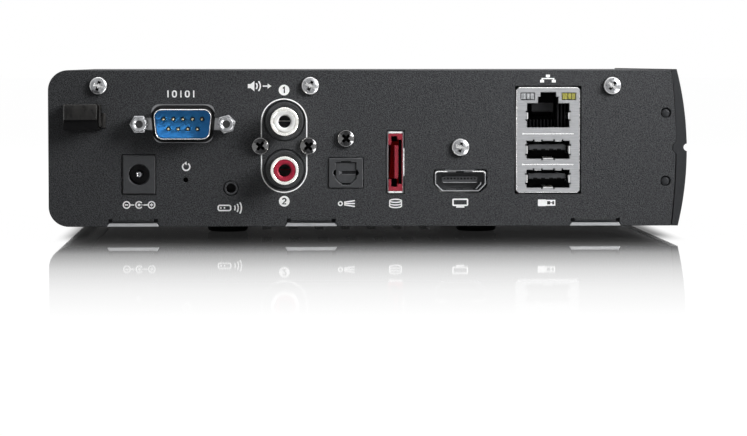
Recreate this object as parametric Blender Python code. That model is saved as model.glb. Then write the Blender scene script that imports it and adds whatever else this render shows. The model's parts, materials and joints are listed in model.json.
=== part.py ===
# A small media player: a folded steel casing with a row of sockets, a curved end bezel and its boards.
# u runs across the port panel from its left edge, d runs inward from the panel's outer face and
# w runs up from the panel's lower edge. All lengths are in metres.
import math

import bmesh
import bpy
from mathutils import Matrix, Vector

# Overall sizes and shared clearances
body_width = 0.1850
body_height = 0.0452
body_depth = 0.1300
foot_height = 0.0030
sheet = 0.0010
corner_radius = 0.0058
seam = 0.0003
snug = 0.0002
overrun = 0.0020
round_sides = 24
small_sides = 14
pin_sides = 8
axle_sides = 10
corner_steps = 5
arc_steps = 9

# End bezel
bezel_top_inset = 0.0031
bezel_bottom_inset = 0.0025
seam_inset = 0.0030
seam_top_inset = 0.0046
seam_bottom_inset = 0.0043
bezel_rise = 0.0003
waist_height = 0.0228
groove_height = 0.0022
groove_depth = 0.0010
bump_height = 0.0038
bump_depth = 0.0010
peg_inset = 0.0062
peg_diameter = 0.0023
peg_hole = 0.0030
peg_heights = (0.0130, 0.0328)
peg_recess = 0.0002
flange_thickness = 0.0020
flange_low = 0.0085
flange_high = 0.0370
flange_reach = 0.0088
flange_root = 0.0026

# Cover and end panel
cover_lip = 0.0062
ear_width = 0.0100
ear_height = 0.0076
pan_head = 0.0051
pan_rise = 0.0014
pan_edge = 0.0005
screw_shank = 0.0024
screw_length = 0.0050
screw_hole = 0.0030
screw_shares = (0.0784, 0.4081, 0.8816)
cover_screw_drop = 0.0045
vent_width = 0.0022
vent_height = 0.0180
vent_pitch = 0.0058
vent_count = 14
vent_middle = 0.0240
vent_share = 0.4892

# Base plate
flange_rise = 0.0060
tab_shares = (0.1311, 0.4092, 0.8557)
tab_width = 0.0138
tab_foot_width = 0.0151
notch_height = 0.0021
notch_corner = 0.0011
lip_low = 0.0013
lip_reach = 0.0008
side_wall_inset = 0.0110
side_wall_height = 0.0420
side_wall_margin = 0.0060
floor_slot = (0.0030, 0.0200)
floor_slot_pitch = 0.0085
floor_slot_count = 7
floor_slot_rows = (0.0350, 0.0950)

# Feet
foot_diameter = 0.0120
foot_dome = 0.0012
foot_share = 0.47865
foot_pitch_u = 0.0745
foot_pitch_d = 0.0750
foot_middle_d = 0.0665

# Cable clip
clip_left = 0.0040
clip_strap_end = 0.0142
clip_post = (0.0148, 0.0154)
clip_base_end = 0.0166
clip_low = 0.0280
clip_high = 0.0354
clip_proud = 0.0072
clip_wall = 0.0013
clip_left_wall = 0.0015
clip_base = 0.0013
clip_chamfer = 0.0027
clip_corner = 0.0015
clip_peg = (0.0095, 0.0030, 0.0040)

# Main board and what stands on it
board_under = 0.0074
board_thickness = 0.0016
board_left = 0.0070
board_right_inset = 0.0150
board_near = 0.0034
board_far = 0.1050
post_diameter = 0.0060
post_left = 0.0170
post_right_inset = 0.0200
post_rows = (0.0990, 0.0300)
processor_side = 0.0200
processor_height = 0.0020
processor_share = 0.4865
processor_d = 0.0660
sink_side = 0.0420
sink_base = 0.0030
sink_height = 0.0150
fin_count = 8
fin_thickness = 0.0016

# Serial port
serial_share = 0.20973
serial_place = (serial_share * body_width, 0.0297)
serial_cut = (0.0186, 0.0114)
serial_shell = (0.0170, 0.0087)
serial_slant = 0.0009
serial_corner = 0.0022
serial_wall = 0.0005
serial_proud = 0.0060
serial_slot = 0.0040
serial_flange = (0.0308, 0.0125)
serial_insulator_back = 0.0080
serial_face = 0.0004
jack_spacing = 0.02499
jack_across = 0.00475
jack_proud = 0.0050
jack_thread = 0.0026
pin_pitch = 0.00277
pin_rows = 0.00284
pin_diameter = 0.0010
pin_proud = 0.0052
pin_board = (0.0150, 0.0080, 0.0012)
ribbon_thickness = 0.0009
ribbon_width = 0.0110

# Power, reset and remote sockets
power_share = 0.14065
dc_place = (power_share * body_width, 0.01505)
dc_size = (0.00945, 0.01125)
dc_depth = 0.0130
dc_bore = 0.0059
dc_bore_depth = 0.0095
dc_pin = 0.0020
dc_pin_recess = 0.0008
reset_share = 0.21351
reset_place = (reset_share * body_width, 0.0135)
reset_hole = 0.00145
reset_stem = 0.0028
reset_switch_size = (0.0070, 0.0038, 0.0072)
reset_near = 0.0036
reset_stem_near = 0.0018
reset_stem_depth = 0.0018
reset_travel = 0.0003
remote_share = 0.28405
remote_place = (remote_share * body_width, 0.0111)
remote_barrel = 0.00395
remote_bore = 0.00245
remote_body = (0.0070, 0.0056)
remote_depth = 0.0110

# Sound sockets
sound_share = 0.36757
sound_heights = (0.0165, 0.0305)
sound_boss = 0.0113
sound_ring = 0.0082
sound_ring_bore = 0.0068
sound_proud = 0.0080
sound_insert = 0.0062
sound_insert_bore = 0.0035
sound_insert_recess = 0.0004
sound_seat = 0.0070
sound_block = (0.0126, 0.0120)
sound_block_margin = 0.0067
sound_ears = (0.0175, 0.0068, 0.0050)
sound_screw_spread = 0.0139
sound_screw_drop = 0.0002
boss_recess = 0.0003

# Optical socket
optical_share = 0.46378
optical_place = (optical_share * body_width, 0.0155)
optical_size = (0.0098, 0.0086)
optical_mouth = (0.0061, 0.0066)
optical_chamfer = 0.0018
optical_side_notch = (0.0019, 0.0007)
optical_depth = 0.0150
optical_cavity = 0.0095
optical_light_bore = 0.0022
optical_ear = (0.0080, 0.0130, 0.0040)
optical_screw_lift = 0.0100
shutter_thickness = 0.0010
shutter_recess = 0.0006
shutter_axle = 0.0008
shutter_axle_reach = 0.0006
emitter_side = 0.0060
emitter_depth = 0.0040

# Storage and picture sockets
storage_share = 0.54162
esata_place = (storage_share * body_width, 0.01855)
esata_size = (0.0051, 0.0179)
esata_depth = 0.0120
esata_wall = 0.0004
esata_mouth = (0.0028, 0.0146)
esata_tongue = (0.0011, 0.0118)
picture_share = 0.64324
hdmi_place = (picture_share * body_width, 0.01305)
hdmi_size = (0.01475, 0.0059)
hdmi_chamfer = 0.0020
hdmi_wall = 0.0004
hdmi_depth = 0.0115
hdmi_ear = (0.0090, 0.0030, 0.01315)
hdmi_screw_lift = 0.00985
hdmi_tongue = (0.0112, 0.0016)
hdmi_back = 0.0030
shell_proud = 0.0004

# Network and twin serial-bus sockets
stack_share = 0.78097
stack_place = (stack_share * body_width, 0.02493)
stack_size = (0.0185, 0.03055)
stack_chamfer = 0.0007
stack_depth = 0.0210
stack_wall = 0.0005
net_lift = 0.00717
net_mouth = (0.0123, 0.0070)
net_keys = ((0.0059, 0.0019), (0.0045, 0.0013))
net_depth = 0.0140
net_block = 0.0136
bus_lifts = (-0.01123, -0.00283)
bus_mouth = (0.0125, 0.0052)
bus_depth = 0.0125
bus_block = 0.0070
bus_tongue = (0.0112, 0.0019)
bus_tongue_lift = 0.0004
light_size = (0.0041, 0.0021)
light_lift = 0.01267
light_offset = 0.0060
light_depth = 0.0020

# Power button, status light and remote window in the bezel
front_d = 0.0650
front_board_size = (0.0300, 0.0340, 0.0016)
front_board_low = 0.0050
button_height = 0.0330
button_diameter = 0.0090
button_flange = 0.0110
button_flange_thickness = 0.0010
button_face_inset = 0.0002
button_stem = 0.0030
button_travel = 0.0005
switch_side = 0.0070
switch_rise = 0.0030
stem_depth = 0.0014
light_pipe = 0.0014
window_height = 0.0125
window_diameter = 0.0070
window_face_inset = 0.0009
receiver_side = 0.0060
receiver_rise = 0.0030
receiver_dome = 0.0044
receiver_dome_rise = 0.0012
wall_window = (0.0160, 0.0060)

# Places worked out from the sizes above
panel_y = (sound_proud - body_depth - pan_rise - seam) / 2
board_top = board_under + board_thickness
seat_height = board_top + seam
inner_d = sheet + seam
side_wall_u = body_width - side_wall_inset
front_board_u = side_wall_u + seam
switch_base_u = front_board_u + front_board_size[2] + seam
board_right = body_width - board_right_inset
post_places = [(u, d) for d in post_rows for u in (post_left, body_width - post_right_inset)]
board_screw_places = post_places[:2]
cover_screw_height = body_height - cover_screw_drop
cover_screw_places = [(share * body_width, cover_screw_height) for share in screw_shares]
end_screw_places = cover_screw_places[::2]
tab_places = [share * body_width for share in tab_shares]
sound_u = sound_share * body_width
foot_middle_u = foot_share * body_width
sound_screw_height = sum(sound_heights) / 2 - sound_screw_drop
sound_screw_places = [(sound_u + side * sound_screw_spread / 2, sound_screw_height) for side in (-1, 1)]
optical_screw_place = (optical_place[0], optical_place[1] + optical_screw_lift)
hdmi_screw_place = (hdmi_place[0], hdmi_place[1] + hdmi_screw_lift)
net_centre = stack_place[1] + net_lift
bus_centres = [stack_place[1] + lift for lift in bus_lifts]
light_height = stack_place[1] + light_lift


def at(u, d, w):
    """The point in the model's own frame."""
    return Vector((u - body_width / 2, panel_y + d, foot_height + w))


def clear_scene():
    for item in list(bpy.data.objects):
        bpy.data.objects.remove(item, do_unlink=True)


def material(name, colour, roughness, metallic=0.0):
    made = bpy.data.materials.new(name)
    made.use_nodes = True
    shader = made.node_tree.nodes["Principled BSDF"]
    shader.inputs["Base Color"].default_value = (*colour, 1.0)
    shader.inputs["Roughness"].default_value = roughness
    shader.inputs["Metallic"].default_value = metallic
    return made


# Outlines are lists of two-number points


def rectangle(centre, size):
    (a, b), (wide, high) = centre, (size[0] / 2, size[1] / 2)
    return [(a - wide, b - high), (a + wide, b - high), (a + wide, b + high), (a - wide, b + high)]


def circle(centre, diameter, sides=round_sides):
    turns = [math.tau * k / sides for k in range(sides)]
    return [(centre[0] + diameter / 2 * math.cos(t), centre[1] + diameter / 2 * math.sin(t)) for t in turns]


def hexagon(centre, across, turn=0.0):
    reach = across / math.sqrt(3)
    turns = [math.tau * k / 6 + turn for k in range(6)]
    return [(centre[0] + reach * math.cos(t), centre[1] + reach * math.sin(t)) for t in turns]


def chamfered(centre, size, low=0.0, high=0.0):
    """A rectangle whose lower and upper corners are cut at 45 degrees."""
    (a, b), (wide, tall) = centre, (size[0] / 2, size[1] / 2)
    points = []
    for side_u, side_w, cut in ((-1, -1, low), (1, -1, low), (1, 1, high), (-1, 1, high)):
        corner = (a + side_u * wide, b + side_w * tall)
        if not cut:
            points.append(corner)
            continue
        along = (corner[0] - side_u * cut, corner[1])
        upright = (corner[0], corner[1] - side_w * cut)
        points += [upright, along] if side_u == side_w else [along, upright]
    return points


def rounded(points, radii, steps=corner_steps):
    """Each corner of a polygon turned into an arc; radii is one number or one for each corner."""
    radii = radii if isinstance(radii, (list, tuple)) else [radii] * len(points)
    result = []
    for k, radius in enumerate(radii):
        here = Vector(points[k])
        if not radius:
            result.append(tuple(here))
            continue
        before = (Vector(points[k - 1]) - here).normalized()
        after = (Vector(points[(k + 1) % len(points)]) - here).normalized()
        half = before.angle(after) / 2
        centre = here + (before + after).normalized() * (radius / math.sin(half))
        start = here + before * (radius / math.tan(half)) - centre
        finish = here + after * (radius / math.tan(half)) - centre
        sweep = start.angle_signed(finish)
        for step in range(steps + 1):
            result.append(tuple(centre + Matrix.Rotation(-sweep * step / steps, 2) @ start))
    return result


def dee(centre, size, slant, radius):
    """The shell of a serial plug: its lower edge is shorter than its upper edge."""
    (a, b), (wide, tall) = centre, (size[0] / 2, size[1] / 2)
    low, high = b - tall, b + tall
    corners = [(a - wide + slant, low), (a + wide - slant, low), (a + wide, high), (a - wide, high)]
    return rounded(corners, radius, small_sides // 3)


def arc_between(low, middle, high):
    """Points on the circle through three points, both ends included."""
    (ax, ay), (bx, by), (cx, cy) = low, middle, high
    cross = 2 * (ax * (by - cy) + bx * (cy - ay) + cx * (ay - by))
    sums = [x * x + y * y for x, y in (low, middle, high)]
    ux = (sums[0] * (by - cy) + sums[1] * (cy - ay) + sums[2] * (ay - by)) / cross
    uy = (sums[0] * (cx - bx) + sums[1] * (ax - cx) + sums[2] * (bx - ax)) / cross
    radius = math.hypot(ax - ux, ay - uy)
    start, finish = math.atan2(ay - uy, ax - ux), math.atan2(cy - uy, cx - ux)
    turns = [start + (finish - start) * k / (2 * arc_steps) for k in range(2 * arc_steps + 1)]
    return [(ux + radius * math.cos(t), uy + radius * math.sin(t)) for t in turns]


def strip(points, thickness, samples=5):
    """The outline of a flat strip of even thickness along a smooth line through the points."""
    route = [Vector(p) for p in points]
    ends = [route[0] * 2 - route[1], *route, route[-1] * 2 - route[-2]]
    line = []
    for k in range(1, len(ends) - 2):
        p0, p1, p2, p3 = ends[k - 1:k + 3]
        for step in range(samples):
            t = step / samples
            line.append(
                (p1 * 2 + (p2 - p0) * t + (p0 * 2 - p1 * 5 + p2 * 4 - p3) * t * t
                 + (p1 * 3 - p0 - p2 * 3 + p3) * t ** 3) / 2
            )
    line.append(route[-1])
    left, right = [], []
    for k, point in enumerate(line):
        way = (line[min(k + 1, len(line) - 1)] - line[max(k - 1, 0)]).normalized()
        side = Vector((-way.y, way.x)) * (thickness / 2)
        left.append(tuple(point + side))
        right.append(tuple(point - side))
    return left + right[::-1]


# Solids: each call adds one closed body to a mesh

orders = {
    "u": lambda a, b, c: at(c, a, b),
    "d": lambda a, b, c: at(a, c, b),
    "w": lambda a, b, c: at(a, b, c),
}


def prism(mesh, outline, axis, low, high):
    """An outline across the axis, drawn along it from low to high."""
    place = orders[axis]
    rings = [[mesh.verts.new(place(a, b, level)) for a, b in outline] for level in (low, high)]
    faces = [mesh.faces.new(ring) for ring in rings]
    for k in range(len(outline)):
        m = (k + 1) % len(outline)
        faces.append(mesh.faces.new((rings[0][k], rings[0][m], rings[1][m], rings[1][k])))
    bmesh.ops.recalc_face_normals(mesh, faces=faces)


def box(mesh, u_range, d_range, w_range):
    middle = ((u_range[0] + u_range[1]) / 2, (w_range[0] + w_range[1]) / 2)
    size = (u_range[1] - u_range[0], w_range[1] - w_range[0])
    prism(mesh, rectangle(middle, size), "d", *d_range)


def turned(mesh, profile, axis, centre, sides=round_sides):
    """A profile of (radius, level) points spun about the axis; a point of radius zero closes an end."""
    place = orders[axis]
    rings = []
    for radius, level in profile:
        spun = circle(centre, 2 * radius, sides) if radius else [centre]
        rings.append([mesh.verts.new(place(a, b, level)) for a, b in spun])
    solid_ends = len(rings[0]) == 1
    pairs = list(zip(rings, rings[1:])) + ([] if solid_ends else [(rings[-1], rings[0])])
    faces = []
    for one, other in pairs:
        for k in range(sides):
            m = (k + 1) % sides
            corners = [one[k % len(one)], one[m % len(one)], other[m % len(other)], other[k % len(other)]]
            faces.append(mesh.faces.new(list(dict.fromkeys(corners))))
    bmesh.ops.recalc_face_normals(mesh, faces=faces)


def make(name, finish, build, origin=None, smooth=None):
    """A named object from a function that fills a mesh; its origin may lie on a joint's axis."""
    mesh = bmesh.new()
    build(mesh)
    if origin is not None:
        bmesh.ops.translate(mesh, verts=mesh.verts, vec=-origin)
    data = bpy.data.meshes.new(name)
    mesh.to_mesh(data)
    mesh.free()
    if smooth:
        data.shade_smooth()
        data.set_sharp_from_angle(angle=math.radians(smooth))
    made = bpy.data.objects.new(name, data)
    bpy.context.scene.collection.objects.link(made)
    if origin is not None:
        made.location = origin
    if finish is not None:
        data.materials.append(finish)
    return made


def combine(target, operation, build):
    """A Boolean with a hidden helper made by a function that fills a mesh."""
    helper = make(f"{target.name}_{operation.lower()}_{len(target.modifiers)}", None, build)
    helper.hide_render = True
    helper.display_type = "WIRE"
    step = target.modifiers.new(operation.title(), "BOOLEAN")
    step.operation = operation
    step.solver = "EXACT"
    step.object = helper


def cut(target, build):
    combine(target, "DIFFERENCE", build)


def fuse(target, build):
    combine(target, "UNION", build)


def grown(size, by=seam):
    return (size[0] + 2 * by, size[1] + 2 * by)


# The casing

arc_low = (body_width - bezel_bottom_inset, 0.0)
arc_middle = (body_width, waist_height)
arc_high = (body_width - bezel_top_inset, body_height + bezel_rise)


def seam_line(shift=0.0):
    """The joint between panel and bezel, bottom to top, with its step round the groove."""
    low = (body_width - seam_bottom_inset - shift, 0.0)
    middle = (body_width - seam_inset - shift, waist_height)
    high = (body_width - seam_top_inset - shift, body_height)
    smooth = arc_between(low, middle, high)
    half = bump_height / 2
    flat = half - bump_depth
    step = [
        (middle[0], waist_height - half),
        (middle[0] - bump_depth, waist_height - flat),
        (middle[0] - bump_depth, waist_height + flat),
        (middle[0], waist_height + half),
    ]
    below = [p for p in smooth if p[1] < waist_height - half]
    above = [p for p in smooth if p[1] > waist_height + half]
    return below + step + above


def panel_outline():
    left = rounded(
        [(0.0, body_height), (0.0, 0.0), (corner_radius * 2, 0.0), (corner_radius * 2, body_height)],
        [corner_radius, corner_radius, 0.0, 0.0],
    )
    return left[:2 * (corner_steps + 1)] + seam_line(seam)


def tab_outline(centre):
    top, foot = tab_width / 2, tab_foot_width / 2
    return [(centre - foot, 0.0), (centre + foot, 0.0), (centre + top, sheet), (centre - top, sheet)]


def screw_holes(mesh, places, low, high, diameter=screw_hole):
    for place in places:
        prism(mesh, circle(place, diameter, small_sides), "d", low, high)


def peg_holes(mesh, low, high, diameter=peg_hole):
    for height in peg_heights:
        prism(mesh, circle((body_width - peg_inset, height), diameter, small_sides), "d", low, high)


def make_port_panel():
    reach = (-overrun, sheet + overrun)
    panel = make(
        "port_panel", finishes["coated_steel"],
        lambda m: prism(m, panel_outline(), "d", 0.0, sheet),
    )

    def sockets(m):
        prism(m, rectangle(dc_place, grown(dc_size)), "d", *reach)
        prism(m, circle(reset_place, reset_hole, small_sides), "d", *reach)
        prism(m, circle(remote_place, remote_barrel + 2 * snug, small_sides), "d", *reach)
        for height in sound_heights:
            prism(m, circle((sound_u, height), sound_boss + 2 * seam), "d", *reach)
        prism(m, rectangle(optical_place, grown(optical_size)), "d", *reach)
        prism(m, rectangle(esata_place, grown(esata_size)), "d", *reach)
        prism(m, chamfered(hdmi_place, grown(hdmi_size), hdmi_chamfer), "d", *reach)
        prism(m, chamfered(stack_place, grown(stack_size), stack_chamfer, stack_chamfer), "d", *reach)
        prism(m, dee(serial_place, serial_cut, serial_slant, serial_corner), "d", *reach)

    def fixings(m):
        places = [*cover_screw_places, hdmi_screw_place, optical_screw_place, *sound_screw_places]
        screw_holes(m, places, *reach)
        peg_holes(m, *reach)
        clip_place = (clip_peg[0], (clip_low + clip_high) / 2)
        prism(m, circle(clip_place, clip_peg[1] + 2 * seam, small_sides), "d", *reach)
        slot = (jack_spacing + serial_slot, serial_slot)
        prism(m, rounded(rectangle(serial_place, slot), serial_slot / 2 - snug), "d", *reach)

    def notches(m):
        for place in tab_places:
            half = tab_width / 2 + snug
            foot = tab_foot_width / 2 + snug
            outline = [
                (place - foot - snug, -overrun), (place + foot + snug, -overrun), (place + foot, 0.0),
                (place + half, sheet), (place + half, notch_height),
                (place - half, notch_height), (place - half, sheet), (place - foot, 0.0),
            ]
            prism(m, outline, "d", *reach)

    cut(panel, sockets)
    cut(panel, fixings)
    cut(panel, notches)
    return panel


def cover_section():
    """Top sheet, rounded side and bottom lip, seen from the end."""
    top_end = seam_line(seam)[-1][0]
    lip_end = corner_radius + cover_lip
    inner = corner_radius - sheet
    under = body_height - sheet
    corners = [
        (top_end, body_height), (0.0, body_height), (0.0, 0.0), (lip_end, 0.0),
        (lip_end, sheet), (sheet, sheet), (sheet, under), (top_end, under),
    ]
    return rounded(corners, [0.0, corner_radius, corner_radius, 0.0, 0.0, inner, inner, 0.0])


def make_cover():
    far = body_depth - inner_d
    cover = make(
        "wrap_cover", finishes["coated_steel"],
        lambda m: prism(m, cover_section(), "d", inner_d, far), smooth=35,
    )
    half = ear_width / 2
    upright = (body_height - ear_height, body_height - sheet / 2)

    def near_ears(m):
        for u, w in cover_screw_places:
            box(m, (u - half, u + half), (inner_d, inner_d + sheet), upright)

    def far_ears(m):
        for u, w in end_screw_places:
            box(m, (u - half, u + half), (far - sheet, far), upright)

    fuse(cover, near_ears)
    fuse(cover, far_ears)
    cut(cover, lambda m: screw_holes(m, cover_screw_places, 0.0, inner_d + sheet + overrun))
    cut(cover, lambda m: screw_holes(m, end_screw_places, far - sheet - overrun, body_depth))
    return cover


def base_right():
    return body_width - seam_bottom_inset - 2 * seam


def make_base():
    left = corner_radius + cover_lip + seam
    far = body_depth - inner_d
    base = make(
        "base_plate", finishes["coated_steel"],
        lambda m: box(m, (left, base_right()), (inner_d, far), (0.0, sheet)),
    )
    sunk = sheet / 2

    def flanges(m):
        box(m, (left, side_wall_u), (inner_d, inner_d + sheet), (sunk, flange_rise))
        box(m, (left, side_wall_u), (far - sheet, far), (sunk, flange_rise))

    def side_wall(m):
        margin = side_wall_margin
        box(m, (side_wall_u - sheet, side_wall_u), (margin, body_depth - margin), (sunk, side_wall_height))

    def tabs(m):
        for place in tab_places:
            prism(m, tab_outline(place), "d", 0.0, inner_d + sunk)

    def lips(m):
        for place in tab_places:
            half = tab_width / 2 - notch_corner
            reach = (inner_d - lip_reach, inner_d + sunk)
            box(m, (place - half, place + half), reach, (lip_low, notch_height - snug))

    def posts(m):
        for place in post_places:
            prism(m, circle(place, post_diameter, small_sides), "w", sunk, board_under - seam)

    def post_bores(m):
        for place in post_places:
            prism(m, circle(place, screw_hole, small_sides), "w", 2 * sheet, board_under)

    def slots(m):
        first = foot_middle_u - floor_slot_pitch * (floor_slot_count - 1) / 2
        for row in floor_slot_rows:
            for k in range(floor_slot_count):
                u = first + floor_slot_pitch * k
                prism(m, rectangle((u, row), floor_slot), "w", -overrun, sheet + overrun)

    def window(m):
        low = front_board_low + seam + 2 * sheet
        half = wall_window[0] / 2
        box(
            m, (side_wall_u - sheet - overrun, side_wall_u + overrun),
            (front_d - half, front_d + half), (low, low + wall_window[1]),
        )

    for build in (flanges, side_wall, tabs, lips, posts):
        fuse(base, build)
    for build in (post_bores, slots, window):
        cut(base, build)
    return base


def make_end_panel():
    low, high = body_depth - sheet, body_depth
    reach = (low - overrun, high + overrun)
    panel = make("end_panel", finishes["coated_steel"], lambda m: prism(m, panel_outline(), "d", low, high))

    def vents(m):
        first = vent_share * body_width - vent_pitch * (vent_count - 1) / 2
        for k in range(vent_count):
            place = (first + vent_pitch * k, vent_middle)
            prism(m, rectangle(place, (vent_width, vent_height)), "d", *reach)
        screw_holes(m, end_screw_places, *reach)
        peg_holes(m, *reach)

    cut(panel, vents)
    return panel


def bezel_section():
    outer = arc_between(arc_low, arc_middle, arc_high)
    half = groove_height / 2
    below = [p for p in outer if p[1] < waist_height - half - snug]
    above = [p for p in outer if p[1] > waist_height + half + snug]
    turns = [-math.pi / 2 + math.pi * k / 6 for k in range(7)]
    centre_u = body_width - groove_depth + half
    floor = [(centre_u - half * math.cos(t), waist_height + half * math.sin(t)) for t in turns]
    groove = [(body_width, waist_height - half), *floor, (body_width, waist_height + half)]
    groove = [p for k, p in enumerate(groove) if p[0] < body_width or k in (0, len(groove) - 1)]
    inner = seam_line()
    inner[-1] = (inner[-1][0], body_height + bezel_rise)
    return below + groove + above + inner[::-1]


def make_bezel():
    bezel = make(
        "bezel", finishes["smooth_plastic"],
        lambda m: prism(m, bezel_section(), "d", 0.0, body_depth), smooth=30,
    )
    root = body_width - flange_root
    near = (inner_d, inner_d + flange_thickness)
    far = (body_depth - near[1], body_depth - near[0])

    def flanges(m):
        for reach in (near, far):
            box(m, (body_width - flange_reach, root), reach, (flange_low, flange_high))

    def pegs(m):
        peg_holes(m, peg_recess, near[1] - sheet, peg_diameter)
        peg_holes(m, far[0] + sheet, body_depth - peg_recess, peg_diameter)

    def bores(m):
        span = (body_width - flange_reach, body_width + overrun)
        prism(m, circle((front_d, button_height), button_diameter + 2 * seam), "u", *span)
        prism(m, circle((front_d, window_height), window_diameter + 2 * seam), "u", *span)
        prism(m, circle((front_d, waist_height), light_pipe + 2 * seam, small_sides), "u", *span)

    fuse(bezel, flanges)
    fuse(bezel, pegs)
    cut(bezel, bores)
    return bezel


def make_feet():
    for row, d_side in (("near", -1), ("far", 1)):
        for side, u_side in (("left", -1), ("right", 1)):
            centre = (foot_middle_u + u_side * foot_pitch_u / 2, foot_middle_d + d_side * foot_pitch_d / 2)
            top, low = -seam, -foot_height
            radius = foot_diameter / 2
            turns = [math.pi / 2 * k / 3 for k in range(4)]
            edge = [
                (radius - foot_dome + foot_dome * math.sin(t), low + foot_dome - foot_dome * math.cos(t))
                for t in turns
            ]
            profile = [(0.0, low), *edge, (radius, top), (0.0, top)]
            make(
                f"foot_{row}_{side}", finishes["rubber"],
                lambda m: turned(m, profile, "w", centre), smooth=40,
            )


# Fasteners


def pan_screw(name, finish, place, seat, outward, length=screw_length):
    """A pan-head screw along d whose head sits on a face at depth seat."""
    radius, shank = pan_head / 2, screw_shank / 2
    under = seat + outward * seam
    crown = [
        (0.0, under + outward * pan_rise), (radius - 3 * pan_edge, under + outward * pan_rise),
        (radius - pan_edge, under + outward * (pan_rise - pan_edge)), (radius, under + outward * pan_edge),
        (radius, under), (shank, under), (shank, under - outward * length), (0.0, under - outward * length),
    ]
    return make(name, finish, lambda m: turned(m, crown, "d", place, small_sides), smooth=30)


def make_screws():
    bright, dark = finishes["bright_screw"], finishes["dark_screw"]
    for name, place in zip(("left", "middle", "right"), cover_screw_places):
        pan_screw(f"cover_screw_{name}", bright, place, 0.0, -1)
    pan_screw("hdmi_screw", bright, hdmi_screw_place, 0.0, -1)
    pan_screw("optical_screw", dark, optical_screw_place, 0.0, -1)
    for name, place in zip(("left", "right"), sound_screw_places):
        pan_screw(f"sound_screw_{name}", dark, place, 0.0, -1)
    for name, place in zip(("left", "right"), end_screw_places):
        pan_screw(f"end_screw_{name}", bright, place, body_depth, 1)
    radius, shank = pan_head / 2, screw_shank / 2
    for name, place in zip(("left", "right"), board_screw_places):
        under = seat_height
        profile = [
            (0.0, under + pan_rise), (radius - 3 * pan_edge, under + pan_rise), (radius, under + pan_edge),
            (radius, under), (shank, under), (shank, under - screw_length), (0.0, under - screw_length),
        ]
        make(
            f"board_screw_{name}", bright,
            lambda m: turned(m, profile, "w", place, small_sides), smooth=30,
        )


def make_clip():
    """A moulded loop for the power lead, open by a slit on its right."""
    back, front = -seam, -clip_proud
    strap = front + clip_wall
    post_front = strap - seam
    outline = [
        (clip_left, back), (clip_left, front), (clip_strap_end, front), (clip_strap_end, strap),
        (clip_left + clip_left_wall, strap), (clip_left + clip_left_wall, back - clip_base),
        (clip_post[0], back - clip_base), (clip_post[0], post_front), (clip_post[1], post_front),
        (clip_post[1], back - clip_base), (clip_base_end, back - clip_base), (clip_base_end, back),
    ]
    radii = [0.0, clip_corner, 0.0, 0.0, *[0.0] * 8]
    clip = make(
        "cable_clip", finishes["moulded_plastic"],
        lambda m: prism(m, rounded(outline, radii), "w", clip_low, clip_high),
    )

    def lower_edge(m):
        slope = [
            (front - overrun, clip_low - overrun), (front + clip_chamfer + overrun, clip_low - overrun),
            (front - overrun, clip_low + clip_chamfer + overrun),
        ]
        prism(m, slope, "u", clip_left - overrun, clip_base_end + overrun)

    def peg(m):
        place = (clip_peg[0], (clip_low + clip_high) / 2)
        prism(m, circle(place, clip_peg[1], small_sides), "d", back - clip_base / 2, clip_peg[2])

    cut(clip, lower_edge)
    fuse(clip, peg)
    return clip


# The boards


def make_main_board():
    board = make(
        "main_board", finishes["board"],
        lambda m: box(m, (board_left, board_right), (board_near, board_far), (board_under, board_top)),
    )

    def holes(m):
        low, high = board_under - overrun, board_top + overrun
        for place in post_places:
            prism(m, circle(place, screw_hole, small_sides), "w", low, high)

    cut(board, holes)
    half = processor_side / 2
    u, d = processor_share * body_width, processor_d
    top = seat_height + processor_height
    make(
        "processor", finishes["chip"],
        lambda m: box(m, (u - half, u + half), (d - half, d + half), (seat_height, top)),
    )
    low = top + seam
    side = sink_side / 2
    sink = make(
        "heat_sink", finishes["aluminium"],
        lambda m: box(m, (u - side, u + side), (d - side, d + side), (low, low + sink_height)),
    )
    pitch = (sink_side - fin_thickness) / (fin_count - 1)

    def channels(m):
        for k in range(fin_count - 1):
            start = u - side + fin_thickness + pitch * k
            box(
                m, (start, start + pitch - fin_thickness), (d - side - overrun, d + side + overrun),
                (low + sink_base, low + sink_height + overrun),
            )

    cut(sink, channels)


def make_front_boards():
    wide, tall, thick = front_board_size
    near, low = front_d - wide / 2, front_board_low
    make(
        "front_board", finishes["board"],
        lambda m: box(m, (front_board_u, front_board_u + thick), (near, near + wide), (low, low + tall)),
    )
    start = side_wall_u - seam
    window_middle = front_board_low + seam + 2 * sheet + wall_window[1] / 2
    rest = seat_height + ribbon_thickness / 2 + snug
    points = [
        (start, window_middle), (start - 3 * sheet, window_middle), (board_right - 3 * sheet, rest + snug),
        (board_right - 6 * sheet, rest), (board_right - 9 * sheet, rest),
    ]
    half = ribbon_width / 2

    def ribbon(m):
        outline = strip(points, ribbon_thickness)
        rings = [[m.verts.new(at(u, d, w)) for u, w in outline] for d in (front_d - half, front_d + half)]
        faces = [m.faces.new(ring) for ring in rings]
        for k in range(len(outline)):
            n = (k + 1) % len(outline)
            faces.append(m.faces.new((rings[0][k], rings[0][n], rings[1][n], rings[1][k])))
        bmesh.ops.recalc_face_normals(m, faces=faces)

    make("front_ribbon", finishes["ribbon"], ribbon)


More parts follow.
